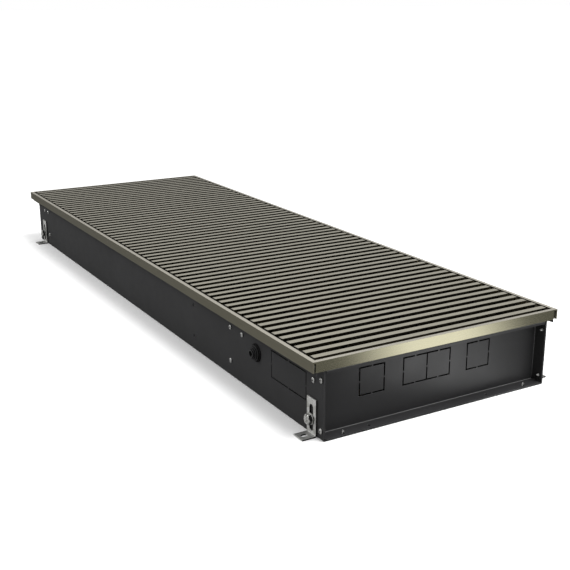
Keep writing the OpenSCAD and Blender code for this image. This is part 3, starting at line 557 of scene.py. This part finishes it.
def stand_in(node, bm, sharp=38):
    """Closes a mesh, drawn in metres, and puts it in a CAD node's place, smooth between its sharp edges."""
    mesh = bpy.data.meshes.new(node + "_detail")
    bm.to_mesh(mesh)
    bm.free()
    mesh.materials.append(finish_of(node))
    mesh.shade_smooth()
    mesh.set_sharp_from_angle(angle=math.radians(sharp))
    piece = bpy.data.objects.new(node + "_detail", mesh)
    scene.collection.objects.link(piece)
    piece.modifiers.new("flat_faces_first", "WEIGHTED_NORMAL").keep_sharp = True
    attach(piece, body_of(frame["nodes"][node])[0])
    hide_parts(node)
    return piece


def repeated(piece, name, count, pitch):
    """Copies of a piece along Y, a pitch in millimetres apart."""
    copies = piece.modifiers.new(name, "ARRAY")
    copies.count = count
    copies.use_relative_offset = False
    copies.use_constant_offset = True
    copies.constant_offset_displace = (0, pitch * MM, 0)


def softened(node, width, segments):
    """The node's own shape with its outer edges rounded over a width in millimetres."""
    bm = bmesh.new()
    bm.from_mesh(frame["nodes"][node].data)
    bmesh.ops.remove_doubles(bm, verts=bm.verts, dist=0.001 * MM)
    bmesh.ops.dissolve_limit(bm, angle_limit=math.radians(0.5), verts=bm.verts, edges=bm.edges)
    corner = math.radians(35)
    edges = [e for e in bm.edges if e.is_manifold and e.calc_face_angle_signed() > corner]
    bmesh.ops.bevel(bm, geom=edges, offset=width * MM, offset_type="OFFSET", segments=segments,
                    profile=0.5, affect="EDGES", clamp_overlap=True)
    return stand_in(node, bm)


# Width of the rounded edges, and the number of faces across them
SOFT_EDGES = {
    "left_frame_rail": (0.35, 3),
    "right_frame_rail": (0.35, 3),
    "front_frame_rail": (0.35, 3),
    "rear_frame_rail": (0.35, 3),
    "frame_corner_keys": (0.2, 2),
    "grille_slats": (0.2, 2),
    "trough": (0.2, 2),
    "front_end_plate": (0.2, 2),
    "rear_end_plate": (0.2, 2),
    "front_partition": (0.2, 2),
    "rear_partition": (0.2, 2),
    "front_cover_plate": (0.2, 2),
    "rear_cover_plate": (0.2, 2),
    "front_left_foot": (0.3, 2),
    "front_right_foot": (0.3, 2),
    "rear_left_foot": (0.3, 2),
    "rear_right_foot": (0.3, 2),
    "foot_washers": (0.2, 2),
    "coil_end_plates": (0.2, 2),
    "connector_bracket": (0.2, 2),
    "fan_plates": (0.2, 2),
    "fan_scroll": (0.15, 2),
    "fan_tongue": (0.15, 2),
    "motor_bracket": (0.2, 2),
    "control_box": (0.4, 2),
    "control_box_lid": (0.8, 3),
    "terminal_block": (0.35, 2),
}

for node_name, (edge_width, edge_faces) in SOFT_EDGES.items():
    softened(node_name, edge_width, edge_faces)


def lathed(node, outline, places, width, count=48, sharp=38):
    """A node made of turned pieces with a hole: a closed outline of radius and height at each place."""
    shape = Shape()
    for place in places:
        shape.loft(turned(eased(outline, width, closed=True), count), place, joined=True)
    shape.finished(node, sharp)


chance = random.Random(11)


def tapping_screws():
    """Pan-head screws in the side walls, each turned to rest at its own angle."""
    head_height, tail = 2.4, 6.5
    shape = Shape()
    for box in solids("side_screws"):
        place = out_of_wall(box, head_height, chance.uniform(0, 90))
        shape.loft(cross_recess_head(3.7, head_height, 1.9, 1.15, drop=0.55), place)
        shape.loft(thread(1.45, 1.95, 1.3, 0.1, -tail, tip=2.2), place)
    shape.finished("side_screws", 30)


def floor_screws():
    """Countersunk screws through the floor, with only their threaded points above the ledge."""
    shape = Shape()
    for box in solids("floor_screws"):
        place = upright(box, 0, chance.uniform(0, 90))
        face = cross_recess_head(3.4, 0.0, 1.7, 1.0, drop=0)[:-RIM_RINGS]
        head = [[(x, y, -z) for x, y, z in points] for points in face]
        shape.loft(head + turned([(3.45, 0.12), (1.6, 1.95)], HEAD_POINTS), place)
        shape.loft(thread(1.5, 1.95, 1.3, 1.8, 7.5, tip=2.4), place)
    shape.finished("floor_screws", 30)


def frame_screws():
    """Low-head screws that hold the rails down on the trough's flanges."""
    head_height = 1.0
    shape = Shape()
    for box in solids("frame_screws"):
        under = box[1].z - head_height
        place = upright(box, under, chance.uniform(0, 90))
        shape.loft(cross_recess_head(3.2, head_height, 1.6, 0.7, drop=0.4), place)
        shape.loft(thread(1.5, 1.95, 1.3, 0.1, box[0].z - under), place)
    shape.finished("frame_screws", 30)


def bolt_head(corner_radius, height):
    """Rings of a hexagonal head from its dished top down to its washer face."""
    flat = corner_radius * math.cos(math.pi / 6)
    dish = [(0, height - 0.35), (flat * 0.55, height - 0.35), (flat * 0.68, height - 0.05)]
    rings = turned([*dish, (flat * 0.95, height)], HEX_POINTS)
    for drop in (0.12, 0.25, 0.4, 0.55, 0.72):
        cone = flat * 0.95 + 1.8 * drop
        rings.append(ring(lambda a, cone=cone: min(hexagon(corner_radius, a) - 0.02, cone),
                          height - drop, HEX_POINTS))
    for z in (height * 0.5, 0.45):
        rings.append(ring(lambda a: hexagon(corner_radius, a), z, HEX_POINTS))
    return rings + turned([(flat * 0.96, 0.3), (flat * 0.95, 0)], HEX_POINTS)


def foot_bolts():
    """Hexagon bolts: a plain neck under the head, and then a thread."""
    head_height = 5.3
    shape = Shape()
    for box in solids("foot_bolts"):
        place = out_of_wall(box, head_height, 30)
        shape.loft(bolt_head(7.5, head_height), place)
        shank = turned([(3.9, 0.1), (3.9, -5)], 32) + thread(3.45, 3.98, 1.25, -5.1, -16.4)
        shape.loft(shank + turned([(3.2, -17)], 32), place)
    shape.finished("foot_bolts", 30)


def rivet_nuts():
    """Blind rivet nuts: a knurled body behind a plain bore."""
    shape = Shape()
    for box in solids("foot_rivet_nuts"):
        knurl = [ring(lambda a: 5.2 - 0.16 * (math.sin(18 * a) > 0), z, 72) for z in (-1.6, -7.2)]
        rings = turned([(4.05, -11), (4.05, 0), (5.1, 0), (5.2, -0.1), (5.2, -1.4)], 72) + knurl
        rings += turned([(5.0, -7.6), (4.9, -10.6), (4.7, -11)], 72)
        shape.loft(rings, out_of_wall(box), joined=True)
    shape.finished("foot_rivet_nuts", 30)


def cable_grommet():
    """The stepped cone of rubber: soft steps with a groove under each, and lips on both sides of the wall."""
    wall = -185.0
    centre = middle(solids("cable_grommet")[0])
    outline = [
        (4, -3.2), (4, 9.5),
        (6.5, 9.5, 1.0), (6.8, 8.1, 0.3), (5.9, 7.8, 0.2),
        (7.9, 7.5, 0.8), (8.2, 6.2, 0.3), (7.2, 5.9, 0.2),
        (9.5, 5.6, 0.8), (9.8, 4.3, 0.3), (8.8, 3.9, 0.2),
        (11.2, 3.6, 0.8), (11.5, 2.3, 0.3), (10.5, 1.95, 0.2),
        (12.9, 1.7, 0.7), (13.2, 0.6, 0.5), (13.1, 0.02, 0.2),
        (11, 0), (11, -1.2),
        (13, -1.22, 0.3), (13, -3.2, 0.8)]
    lathed("cable_grommet", outline, [placed((wall, centre.y, centre.z), "X", flip=True)], 0.3, 96, 60)


def cushion_strips():
    """Rubber strips with three ribs under the slats' ends."""
    shape = Shape()
    for low, high in solids("cushion_strips"):
        width, top = high.x - low.x, high.z - 0.35
        outline = [(low.x, low.z), (high.x, low.z), (high.x, top, 0.2)]
        for rib in (2, 1, 0):
            centre = low.x + width * (rib + 0.5) / 3
            for half, z in ((0.9, top), (0.6, high.z), (-0.6, high.z), (-0.9, top)):
                outline.append((centre + half, z, 0.2))
        outline.append((low.x, top, 0.2))
        section = eased(outline, 0.1, 2, closed=True)
        shape.loft([[(x, y, z) for x, z in section] for y in (low.y, high.y)])
    shape.finished("cushion_strips", 50)


def grille_strings():
    """Cords of seven twisted wires with a crimped sleeve at each end."""
    lay, strand_steps, radius = 18.0, 6, 1.5
    shape = Shape()
    for low, high in solids("grille_strings"):
        x, z = (low.x + high.x) / 2, (low.z + high.z) / 2
        steps = round((high.y - low.y) / lay * strand_steps)
        rings = []
        for step in range(steps + 1):
            y = low.y + (high.y - low.y) * step / steps
            twist = math.tau * (y - low.y) / lay
            rings.append(ring(lambda a, twist=twist: radius * (0.86 + 0.14 * abs(math.cos(3 * (a - twist)))),
                              y, 24))
        shape.loft(rings, placed((x, 0, z), "Y"))
        for start, way in ((low.y, 1), (high.y, -1)):
            sleeve = [ring(lambda a, r=r: r - 0.2 * (math.cos(6 * a) > 0), start + way * at, 48)
                      for r, at in ((1.9, 0), (2.35, 0.25), (2.4, 1.2), (2.35, 2.55), (1.8, 2.8))]
            shape.loft(sleeve, placed((x, 0, z), "Y"))
    shape.finished("grille_strings", 50)


def grille_spacers():
    """Sleeves on the cords: the first on each cord drawn, and the rest repeated along the grille."""
    cords = {}
    for box in sorted(solids("grille_spacers"), key=lambda box: box[0].y):
        cords.setdefault(round(middle(box).x, 1), []).append(box)
    one_cord = next(iter(cords.values()))
    (low, high), following = one_cord[0], one_cord[1]
    length = high.y - low.y
    outline = [(1.62, 0), (2.2, 0), (2.4, 0.6), (2.25, 1.4), (2.25, length - 1.4), (2.4, length - 0.6),
               (2.2, length), (1.62, length)]
    shape = Shape()
    for _, spacers in sorted(cords.items()):
        shape.loft(turned(eased(outline, 0.25, 2, closed=True), 24), rearward(spacers[0]), joined=True)
    repeated(shape.finished("grille_spacers", 45), "along_the_cords", len(one_cord), following[0].y - low.y)


def fin_round_tube(bm, centre, cell, left, y):
    """The part of a fin round one tube: a collar, and waves counted from the fin's left edge."""
    tube, height = 6.0, 0.4
    rim = [(i / 4 - 1, -1) for i in range(8)] + [(1, j / 3 - 1) for j in range(6)]
    rim += [(-u, -v) for u, v in rim]
    rings = []
    for share, out in ((0, 0.45), (0, 0.12), (0.05, 0), (0.3, 0), (0.65, 0), (1, 0)):
        points = []
        for u, v in rim:
            edge = Vector((u * cell[0] / 2, v * cell[1] / 2))
            place = edge.normalized() * tube * (1 - share) + edge * share
            x, z = centre[0] + place.x, centre[1] + place.y
            wave = height * math.sin(math.tau * 2 * (x - left) / cell[0]) * ramp(3 * share - 0.15)
            points.append(bm.verts.new((x, y + out + wave, z)))
        rings.append(points)
    for a, b in zip(rings, rings[1:]):
        for i in range(len(rim)):
            j = (i + 1) % len(rim)
            bm.faces.new((a[i], a[j], b[j], b[i]))


def coil_fins():
    """One corrugated fin with a collar at each tube, repeated along the coil."""
    boxes = solids("coil_fins")
    low, high = min(boxes, key=lambda box: box[0].y)
    pitch = sorted(box[0].y for box in boxes)[1] - low.y
    columns, rows = 4, 2
    cell = ((high.x - low.x) / columns, (high.z - low.z) / rows)
    shape = Shape()
    for column in range(columns):
        for row in range(rows):
            centre = (low.x + cell[0] * (column + 0.5), low.z + cell[1] * (row + 0.5))
            fin_round_tube(shape.bm, centre, cell, low.x, (low.y + high.y) / 2)
    bmesh.ops.remove_doubles(shape.bm, verts=shape.bm.verts, dist=0.01)
    piece = shape.finished("coil_fins", 60)
    sheet = piece.modifiers.new("sheet", "SOLIDIFY")
    sheet.thickness = 0.22 * MM
    sheet.offset = 0
    repeated(piece, "along_the_tubes", len(boxes), pitch)


def coil_tubes():
    """Copper tubes with a wall, and a swaged ring where each one stops."""
    shape = Shape()
    for box in solids("coil_tubes"):
        length = box[1].y - box[0].y
        outline = [(5.2, 0), (5.7, 0), (6, 0.4), (6, 5), (5.75, 6), (5.75, length - 6), (6, length - 5),
                   (6, length - 0.4), (5.7, length), (5.2, length)]
        shape.loft(turned(eased(outline, 0.3, 2, closed=True), 32), rearward(box), joined=True)
    shape.finished("coil_tubes", 40)


def bend_wall(radius, swell, span, place):
    """Rings of half a turn of tube, with its two end rings at each end wider by a swell."""
    steps, count = 24, 28
    rings = []
    for step in range(steps + 1):
        angle = math.pi * step / steps
        r = radius + swell * (step in (0, 1, steps - 1, steps))
        points = []
        for i in range(count):
            a = math.tau * i / count
            arm = span / 2 + r * math.cos(a)
            points.append(place(r * math.sin(a), arm * math.sin(angle), -arm * math.cos(angle)))
        rings.append(points)
    return rings


def coil_bends():
    """Return bends: bent tubes with a brazed ring at each end."""
    tube_width = 12
    bead = [(5.3, 0.2), (5.9, 0.1), (6.35, 0.5), (6.4, 1.2), (6.1, 2.2), (5.9, 2.5), (5.3, 2.5)]
    shape = Shape()
    for low, high in solids("coil_bends"):
        centre = middle((low, high))
        upright_bend = high.x - low.x < tube_width + 1
        span = (high.z - low.z if upright_bend else high.x - low.x) - tube_width
        rear = centre.y > 0
        mouth = low.y if rear else high.y
        away = 1 if rear else -1

        def place(side, depth, along):
            """A point from its distances across the bend, out from the coil, and from tube to tube."""
            x, z = (side, along) if upright_bend else (along, side)
            return centre.x + x, mouth + away * depth, centre.z + z

        outer = bend_wall(5.85, 0.15, span, place)
        shape.loft(outer + bend_wall(5.2, 0.0, span, place)[::-1], joined=True)
        for end in (-1, 1):
            at = placed(place(0, 0, end * span / 2), "Y", flip=not rear)
            shape.loft(turned(eased(bead, 0.2, 2, closed=True), 28), at, joined=True)
    shape.finished("coil_bends", 40)


def pipe_connectors():
    """Brass sockets: a chamfered hexagon, a collar, and a pipe thread inside."""
    count, corner_radius, nut = 72, 13.8, 18
    cone = corner_radius * math.cos(math.pi / 6) * 0.97
    outside = turned([(9.9, 0), (11.6, 0)], count)
    for z in (0.15, 0.5, 0.9, 1.3, 3, 15, 16.7, 17.1, 17.5, 17.85):
        widest = cone + 1.7 * min(z, nut - z)
        outside.append(ring(lambda a, widest=widest: min(hexagon(corner_radius, a), widest), z, count))
    collar = [(11.6, nut), (9.3, nut), (9, 18.3), (9, 29.5), (8.6, 30), (6.05, 30), (6.02, 13.5), (9.1, 13.4)]
    inside = thread(9.35, 10.4, 1.814, 12.8, 0.6, count=count)
    inside = [[(x * 0.985, y * 0.985, z) for x, y, z in points] for points in inside]
    shape = Shape()
    for box in solids("pipe_connectors"):
        shape.loft(outside + turned(collar, count) + inside, rearward(box), joined=True)
    shape.finished("pipe_connectors", 30)


def vent_body():
    """The air vent's saddle on the pipe, and the boss above it."""
    low, high = solids("vent_body")[0]
    centre = middle((low, high))
    pipe_z = high.z - 16.5
    saddle = [(6.02, 0), (8.0, 0), (8.5, 0.8), (8.5, 6.4), (8.2, 7), (8.2, 9), (8.5, 9.6), (8.5, 15.2),
              (8.0, 16), (6.02, 16)]
    boss = [(2.53, 9), (5.5, 7.2), (5.5, 12.3), (5.1, 12.6), (5.1, 13.4), (5.5, 13.7), (5.5, 16.1),
            (5.1, 16.5), (2.9, 16.5), (2.53, 16.2)]
    shape = Shape()
    for outline, width, place in (
            (saddle, 0.3, placed((centre.x, centre.y - 8, pipe_z), "Y")),
            (boss, 0.25, placed((centre.x, centre.y, pipe_z)))):
        shape.loft(turned(eased(outline, width, 2, closed=True), 48), place, joined=True)
    shape.finished("vent_body", 40)


def vent_screw():
    """The air vent's knurled screw, with a slot across its head."""
    head, count = 3, 96
    low, high = solids("vent_screw")[0]

    def top(angle, r):
        """The head's flat top with a slot across it."""
        return head - 1.2 * ramp((0.55 - abs(r * math.sin(angle))) / 0.12)

    rings = [[(0, 0, 1.8)]] + [ring(r, top, count) for r in (0.3, 0.6, 0.9, 1.4, 2.2, 3.2, 4.0)]
    for radius, z in ((4.3, 2.7), (4.4, 2.4), (4.4, 0.6), (4.3, 0.25)):
        rings.append(ring(lambda a, radius=radius: radius - 0.22 * (math.cos(24 * a) > 0),
                          lambda a, r, z=z: min(z, top(a, r)), count))
    rings += turned([(3.9, 0), (2.4, 0)], count)
    rings += thread(2.15, 2.44, 0.8, -0.1, low.z - high.z + head, count=count)
    shape = Shape()
    shape.loft(rings, upright((low, high), high.z - head))
    shape.finished("vent_screw", 30)


FAN_AXIS = (-112.0, 46.0)


def fan_blade(inner, outer):
    """The section of one round-edged, curved blade, from a fan's inner radius to its outer one."""
    depth, curve, thick = outer - inner, 7.0, 0.9
    reach = math.asin(depth / 2 / (curve + thick))
    centre = Vector((inner + depth / 2, -curve * 0.75))
    section = []
    for radius, way, order in ((curve + thick, -1, range(11)), (curve, 1, range(10, -1, -1))):
        for i in order:
            angle = math.pi / 2 - reach + 2 * reach * i / 10
            taper = way * thick * 0.3 * (abs(i - 5) / 5) ** 4
            section.append(centre + (radius + taper) * Vector((math.cos(angle), math.sin(angle))))
    return section


def fan_wheels():
    """Crossflow wheels: curved blades through flat rings, and a hub at each end."""
    blades, inner, outer, bore = 24, 21.0, 28.0, 4.0
    disc, hub = 2, 8
    section = fan_blade(inner, outer)
    shape = Shape()
    for low, high in solids("fan_wheels"):
        at = (FAN_AXIS[0], low.y, FAN_AXIS[1])
        length = high.y - low.y
        for blade in range(blades):
            shape.loft([[(p.x, p.y, z) for p in section] for z in (0.2, length - 0.2)],
                       placed(at, "Y", turn=360 * blade / blades))
        for i in range(5):
            z = (length - disc) * i / 4
            hole = bore if i in (0, 4) else inner - 2
            outline = [(hole, z), (outer + 0.2, z), (outer + 0.2, z + disc), (hole, z + disc)]
            shape.loft(turned(eased(outline, 0.4, closed=True), 96), placed(at, "Y"), joined=True)
        for z in (0, length - hub):
            outline = [(bore, z), (8.0, z), (8.0, z + hub), (bore, z + hub)]
            shape.loft(turned(eased(outline, 0.6, closed=True), 48), placed(at, "Y"), joined=True)
    shape.finished("fan_wheels", 40)


def fan_shaft():
    """The shaft, with chamfered ends and a groove near its rear one."""
    box = solids("fan_shaft")[0]
    length = box[1].y - box[0].y
    outline = [(0, 0), (3.5, 0), (4, 0.5), (4, length - 2.2), (3.8, length - 2.1), (3.8, length - 1.4),
               (4, length - 1.3), (4, length - 0.5), (3.5, length), (0, length)]
    shape = Shape()
    shape.loft(turned(outline, 48), rearward(box))
    shape.finished("fan_shaft")


def fan_bearings():
    """Sleeve bearings, each with a groove round it."""
    outline = [(4.05, 0), (7.2, 0), (8, 0.8), (8, 2.9), (7.6, 3.2), (7.6, 4.8), (8, 5.1), (8, 7.2), (7.2, 8),
               (4.05, 8), (4.4, 5), (4.4, 3)]
    lathed("fan_bearings", outline, [rearward(box) for box in solids("fan_bearings")], 0.2)


def motor_coupling():
    """The rubber coupling, narrower and ribbed in its middle."""
    outline = [(4, 0), (8.6, 0), (9, 0.4), (9, 3.1), (8.6, 3.5), (7, 3.7), (7, 4.4), (7.6, 5), (7, 5.6),
               (7, 6.3), (8.6, 6.5), (9, 6.9), (9, 9.6), (8.6, 10), (4, 10)]
    place = rearward(solids("motor_coupling")[0], core=solids("fan_shaft")[0])
    lathed("motor_coupling", outline, [place], 0.4)


def fan_motor():
    """The motor's can with cooling ribs between two clamping bands."""
    low, high = solids("fan_motor")[0]
    at = (FAN_AXIS[0], low.y, FAN_AXIS[1])
    length, boss, ribs = 38.0, high.y - low.y, 18
    outline = [(0, 0), (6, 0), (6.5, 0.4), (19, 0.4), (21.4, 1.2), (22, 2.6), (22, 4), (24, 4), (24, 9),
               (22, 9), (22, length - 9), (24, length - 9), (24, length - 4), (22, length - 4),
               (22, length - 1.4), (21, length), (7.9, length), (7.9, boss), (4.05, boss),
               (4.05, boss - 20), (0, boss - 20)]
    rib = eased([(21, -1.1), (23.5, -0.9), (23.5, 0.9), (21, 1.1)], 0.3, 2, closed=True)
    shape = Shape()
    shape.loft(turned([tuple(p) for p in eased(outline, 0.5)], 72), placed(at, "Y"))
    for i in range(ribs):
        place = placed(at, "Y", turn=360 / ribs * i)
        shape.loft([[(x, y, z) for x, y in rib] for z in (8, length - 8)], place)
    shape.finished("fan_motor", 40)


def control_box_screws():
    """The small screws of the box's lid."""
    head_height = 1.6
    shape = Shape()
    for box in solids("control_box_screws"):
        under = box[1].z - head_height
        place = upright(box, under, chance.uniform(0, 90))
        shape.loft(cross_recess_head(2.6, head_height, 1.35, 0.9, drop=0.45), place)
        shape.loft(thread(0.95, 1.25, 1.0, 0.1, box[0].z - under, tip=1.6), place)
    shape.finished("control_box_screws", 30)


def motor_lead():
    """The sheathed lead, with three cores that show as a slow twist."""
    box = solids("motor_lead")[0]
    length, steps, count = box[1].y - box[0].y, 40, 24
    rings = turned([(0, 0), (2.85, 0)], count)
    for step in range(steps + 1):
        z = 0.15 + (length - 0.3) * step / steps
        rings.append(ring(lambda a, z=z: 2.94 + 0.06 * math.cos(3 * a - z / 8), z, count))
    shape = Shape()
    shape.loft(rings + turned([(2.85, length), (0, length)], count), rearward(box))
    shape.finished("motor_lead", 50)


def lead_grommet():
    """The grommet that holds the lead in the partition."""
    outline = [(3.02, 0), (6.4, 0), (7, 0.6), (7, 2), (5, 2), (5, 3.2), (7, 3.2), (7, 4.4), (6.4, 5),
               (3.02, 5)]
    place = rearward(solids("lead_grommet")[0], core=solids("motor_lead")[0])
    lathed("lead_grommet", outline, [place], 0.3)


def earth_stud():
    """The earth stud's washer, nut and threaded end."""
    box = solids("earth_stud")[0]
    place = upright(box, box[0].z)
    washer = 1.2
    nut = [[(x, y, z + washer) for x, y, z in points] for points in bolt_head(4.6, 4.0)]
    shape = Shape()
    shape.loft(turned([(2.1, 0), (6, 0), (6, 1), (5.8, washer), (2.1, washer)], 72), place)
    shape.loft(nut, place)
    shape.loft(thread(2.1, 2.5, 0.8, 0.6, 15.4) + turned([(2.0, 16)], 32), place)
    shape.finished("earth_stud", 30)


tapping_screws()
floor_screws()
frame_screws()
foot_bolts()
rivet_nuts()
cable_grommet()
cushion_strips()
grille_strings()
grille_spacers()
coil_tubes()
coil_bends()
coil_fins()
pipe_connectors()
vent_body()
vent_screw()
fan_wheels()
fan_shaft()
fan_bearings()
motor_coupling()
fan_motor()
control_box_screws()
motor_lead()
lead_grommet()
earth_stud()


# ---- Stage -----------------------------------------------------------------------------------

# The photograph's camera: degrees, metres, and the focal length in widths of the picture
CAMERA_YAW = 30.152
CAMERA_PITCH = 16.954
CAMERA_ROLL = -0.081
CAMERA_AT = (-0.76943, -1.51040, 0.53451)
FOCAL_WIDTHS = 956.449 / 570
SENSOR = 36.0

# The floor's grey as it lights the heater, and in reflections: the photographed metal mirrors a dark studio
FLOOR_GREY = 0.42
MIRRORED_FLOOR = 0.08

# The floor's own light in reflections, and the share of white in the background there
SHOWN = 0.05

# The light that keeps the floor white to the camera, near the heater and far from it, and these distances
GLOW = (0.06, 0.40)
GLOW_AT = (1.1, 3.0)
WHITE = (1.0, 1.0, 1.0)

# The painted streak of light on the floor, seen only in reflections, that the front of the heater mirrors:
# where it starts, its direction in degrees from +X, its half width in metres, how bright it is, and how far
# along it begins and is in full
STREAK_FROM = (0.01, -0.6, 0.0)
STREAK_TURN = -53.0
STREAK_HALF_WIDTH = 0.165
STREAK = 1.7
STREAK_BEGINS = (0.02, 0.10)

# How bright the background is to what isn't the camera, by height from the horizon at 0 to straight up at 1
SKY = ((0.02, 0.05), (0.2, 0.30), (0.36, 0.50), (1.0, 1.0))

# Square lamps: where each is, what it is aimed at, its width, its watts, and whether it shows in reflections
KEY_AT = (0.36, -1.0, 2.4)
KEY_AIM = (0, 0, 0.05)
LAMPS = {
    "key": (KEY_AT, KEY_AIM, 1.1, 54, False),
    "key_mirrored": (KEY_AT, KEY_AIM, 1.1, 6, True),
    "glint": ((-1.9, 1.0, 1.8), (-0.18, -0.5, 0.06), 0.45, 14, True),
}


def make_camera():
    data = bpy.data.cameras.new("camera")
    data.sensor_width = SENSOR
    data.lens = SENSOR * FOCAL_WIDTHS
    data.clip_end = 50.0
    camera = bpy.data.objects.new("camera", data)
    turn = (Matrix.Rotation(math.radians(-CAMERA_YAW), 4, "Z")
            @ Matrix.Rotation(math.radians(90 - CAMERA_PITCH), 4, "X")
            @ Matrix.Rotation(math.radians(CAMERA_ROLL), 4, "Z"))
    camera.matrix_world = Matrix.Translation(CAMERA_AT) @ turn
    scene.collection.objects.link(camera)
    scene.camera = camera


def make_floor():
    """A floor that keeps the shadow, shows as white, and is dim in reflections but for one painted streak of
    light.
    """
    half = 30.0
    mesh = bpy.data.meshes.new("floor")
    mesh.from_pydata([(-half, -half, 0), (half, -half, 0), (half, half, 0), (-half, half, 0)], [],
                     [(0, 1, 2, 3)])
    floor = bpy.data.objects.new("floor", mesh)
    scene.collection.objects.link(floor)
    mesh.materials.append(floor_finish())


def floor_finish():
    grey = (FLOOR_GREY,) * 3
    look = Finish("floor", grey, 0.9, Specular_IOR_Level=0.0)
    camera, mirrored = look.rays()
    lit = look.mixed(mirrored, grey, (MIRRORED_FLOOR,) * 3)
    look.set("Base Color", look.mixed(camera, lit, WHITE))
    away = look.node("ShaderNodeVectorMath", {"Vector": look.place}, operation="LENGTH").outputs["Value"]
    seen = look.maths("MULTIPLY", camera, look.ranged(away, *GLOW, *GLOW_AT))
    reflected = look.maths("MULTIPLY", mirrored, look.maths("ADD", streak(look), SHOWN))
    look.set("Emission Color", (*WHITE, 1.0))
    look.set("Emission Strength", look.maths("ADD", seen, reflected))
    return look.material


def streak(look):
    """The brightness of the floor's painted streak of light, seen only in reflections, soft at its sides and
    where it begins.
    """
    mapping = look.node("ShaderNodeMapping", {
        "Vector": look.place, "Location": STREAK_FROM, "Rotation": (0.0, 0.0, math.radians(STREAK_TURN)),
        "Scale": (1.0, STREAK_HALF_WIDTH, 1.0)}, vector_type="TEXTURE")
    along, across, _ = look.split(mapping.outputs["Vector"])
    side = look.node("ShaderNodeMapRange", {
        "Value": look.maths("ABSOLUTE", across), "From Min": 0.2, "From Max": 1.0, "To Min": STREAK,
        "To Max": 0.0}, interpolation_type="SMOOTHSTEP").outputs["Result"]
    return look.maths("MULTIPLY", side, look.ranged(along, 0.0, 1.0, *STREAK_BEGINS))


def make_world():
    """Soft studio light: dim at the horizon and bright overhead, and white to the camera."""
    world = bpy.data.worlds.new("studio")
    scene.world = world
    world.use_nodes = True
    nodes = Nodes(world.node_tree)
    height = nodes.split(nodes.coordinates("Generated"))["Z"]
    sky = nodes.node("ShaderNodeValToRGB", {"Fac": height})
    stops = sky.color_ramp.elements
    while len(stops) < len(SKY):
        stops.new(1.0)
    for stop, (position, grey) in zip(stops, SKY):
        stop.position = position
        stop.color = (grey, grey, grey, 1)
    camera, mirrored = nodes.rays()
    share = nodes.maths("ADD", nodes.maths("MULTIPLY", mirrored, SHOWN), camera)
    background = world.node_tree.nodes["Background"]
    nodes.feed(background.inputs["Color"], nodes.mixed(share, sky.outputs["Color"], WHITE))
    nodes.feed(background.inputs["Strength"], 1.0)


def make_lamp(name, at, towards, width, watts, mirrored):
    data = bpy.data.lights.new(name, "AREA")
    data.size = width
    data.energy = watts
    lamp = bpy.data.objects.new(name, data)
    lamp.visible_glossy = mirrored
    lamp.location = at
    lamp.rotation_euler = (Vector(towards) - Vector(at)).to_track_quat("-Z", "Y").to_euler()
    scene.collection.objects.link(lamp)


make_camera()
make_floor()
make_world()
for lamp_name, settings in LAMPS.items():
    make_lamp(lamp_name, *settings)

scene.view_settings.view_transform = "Standard"
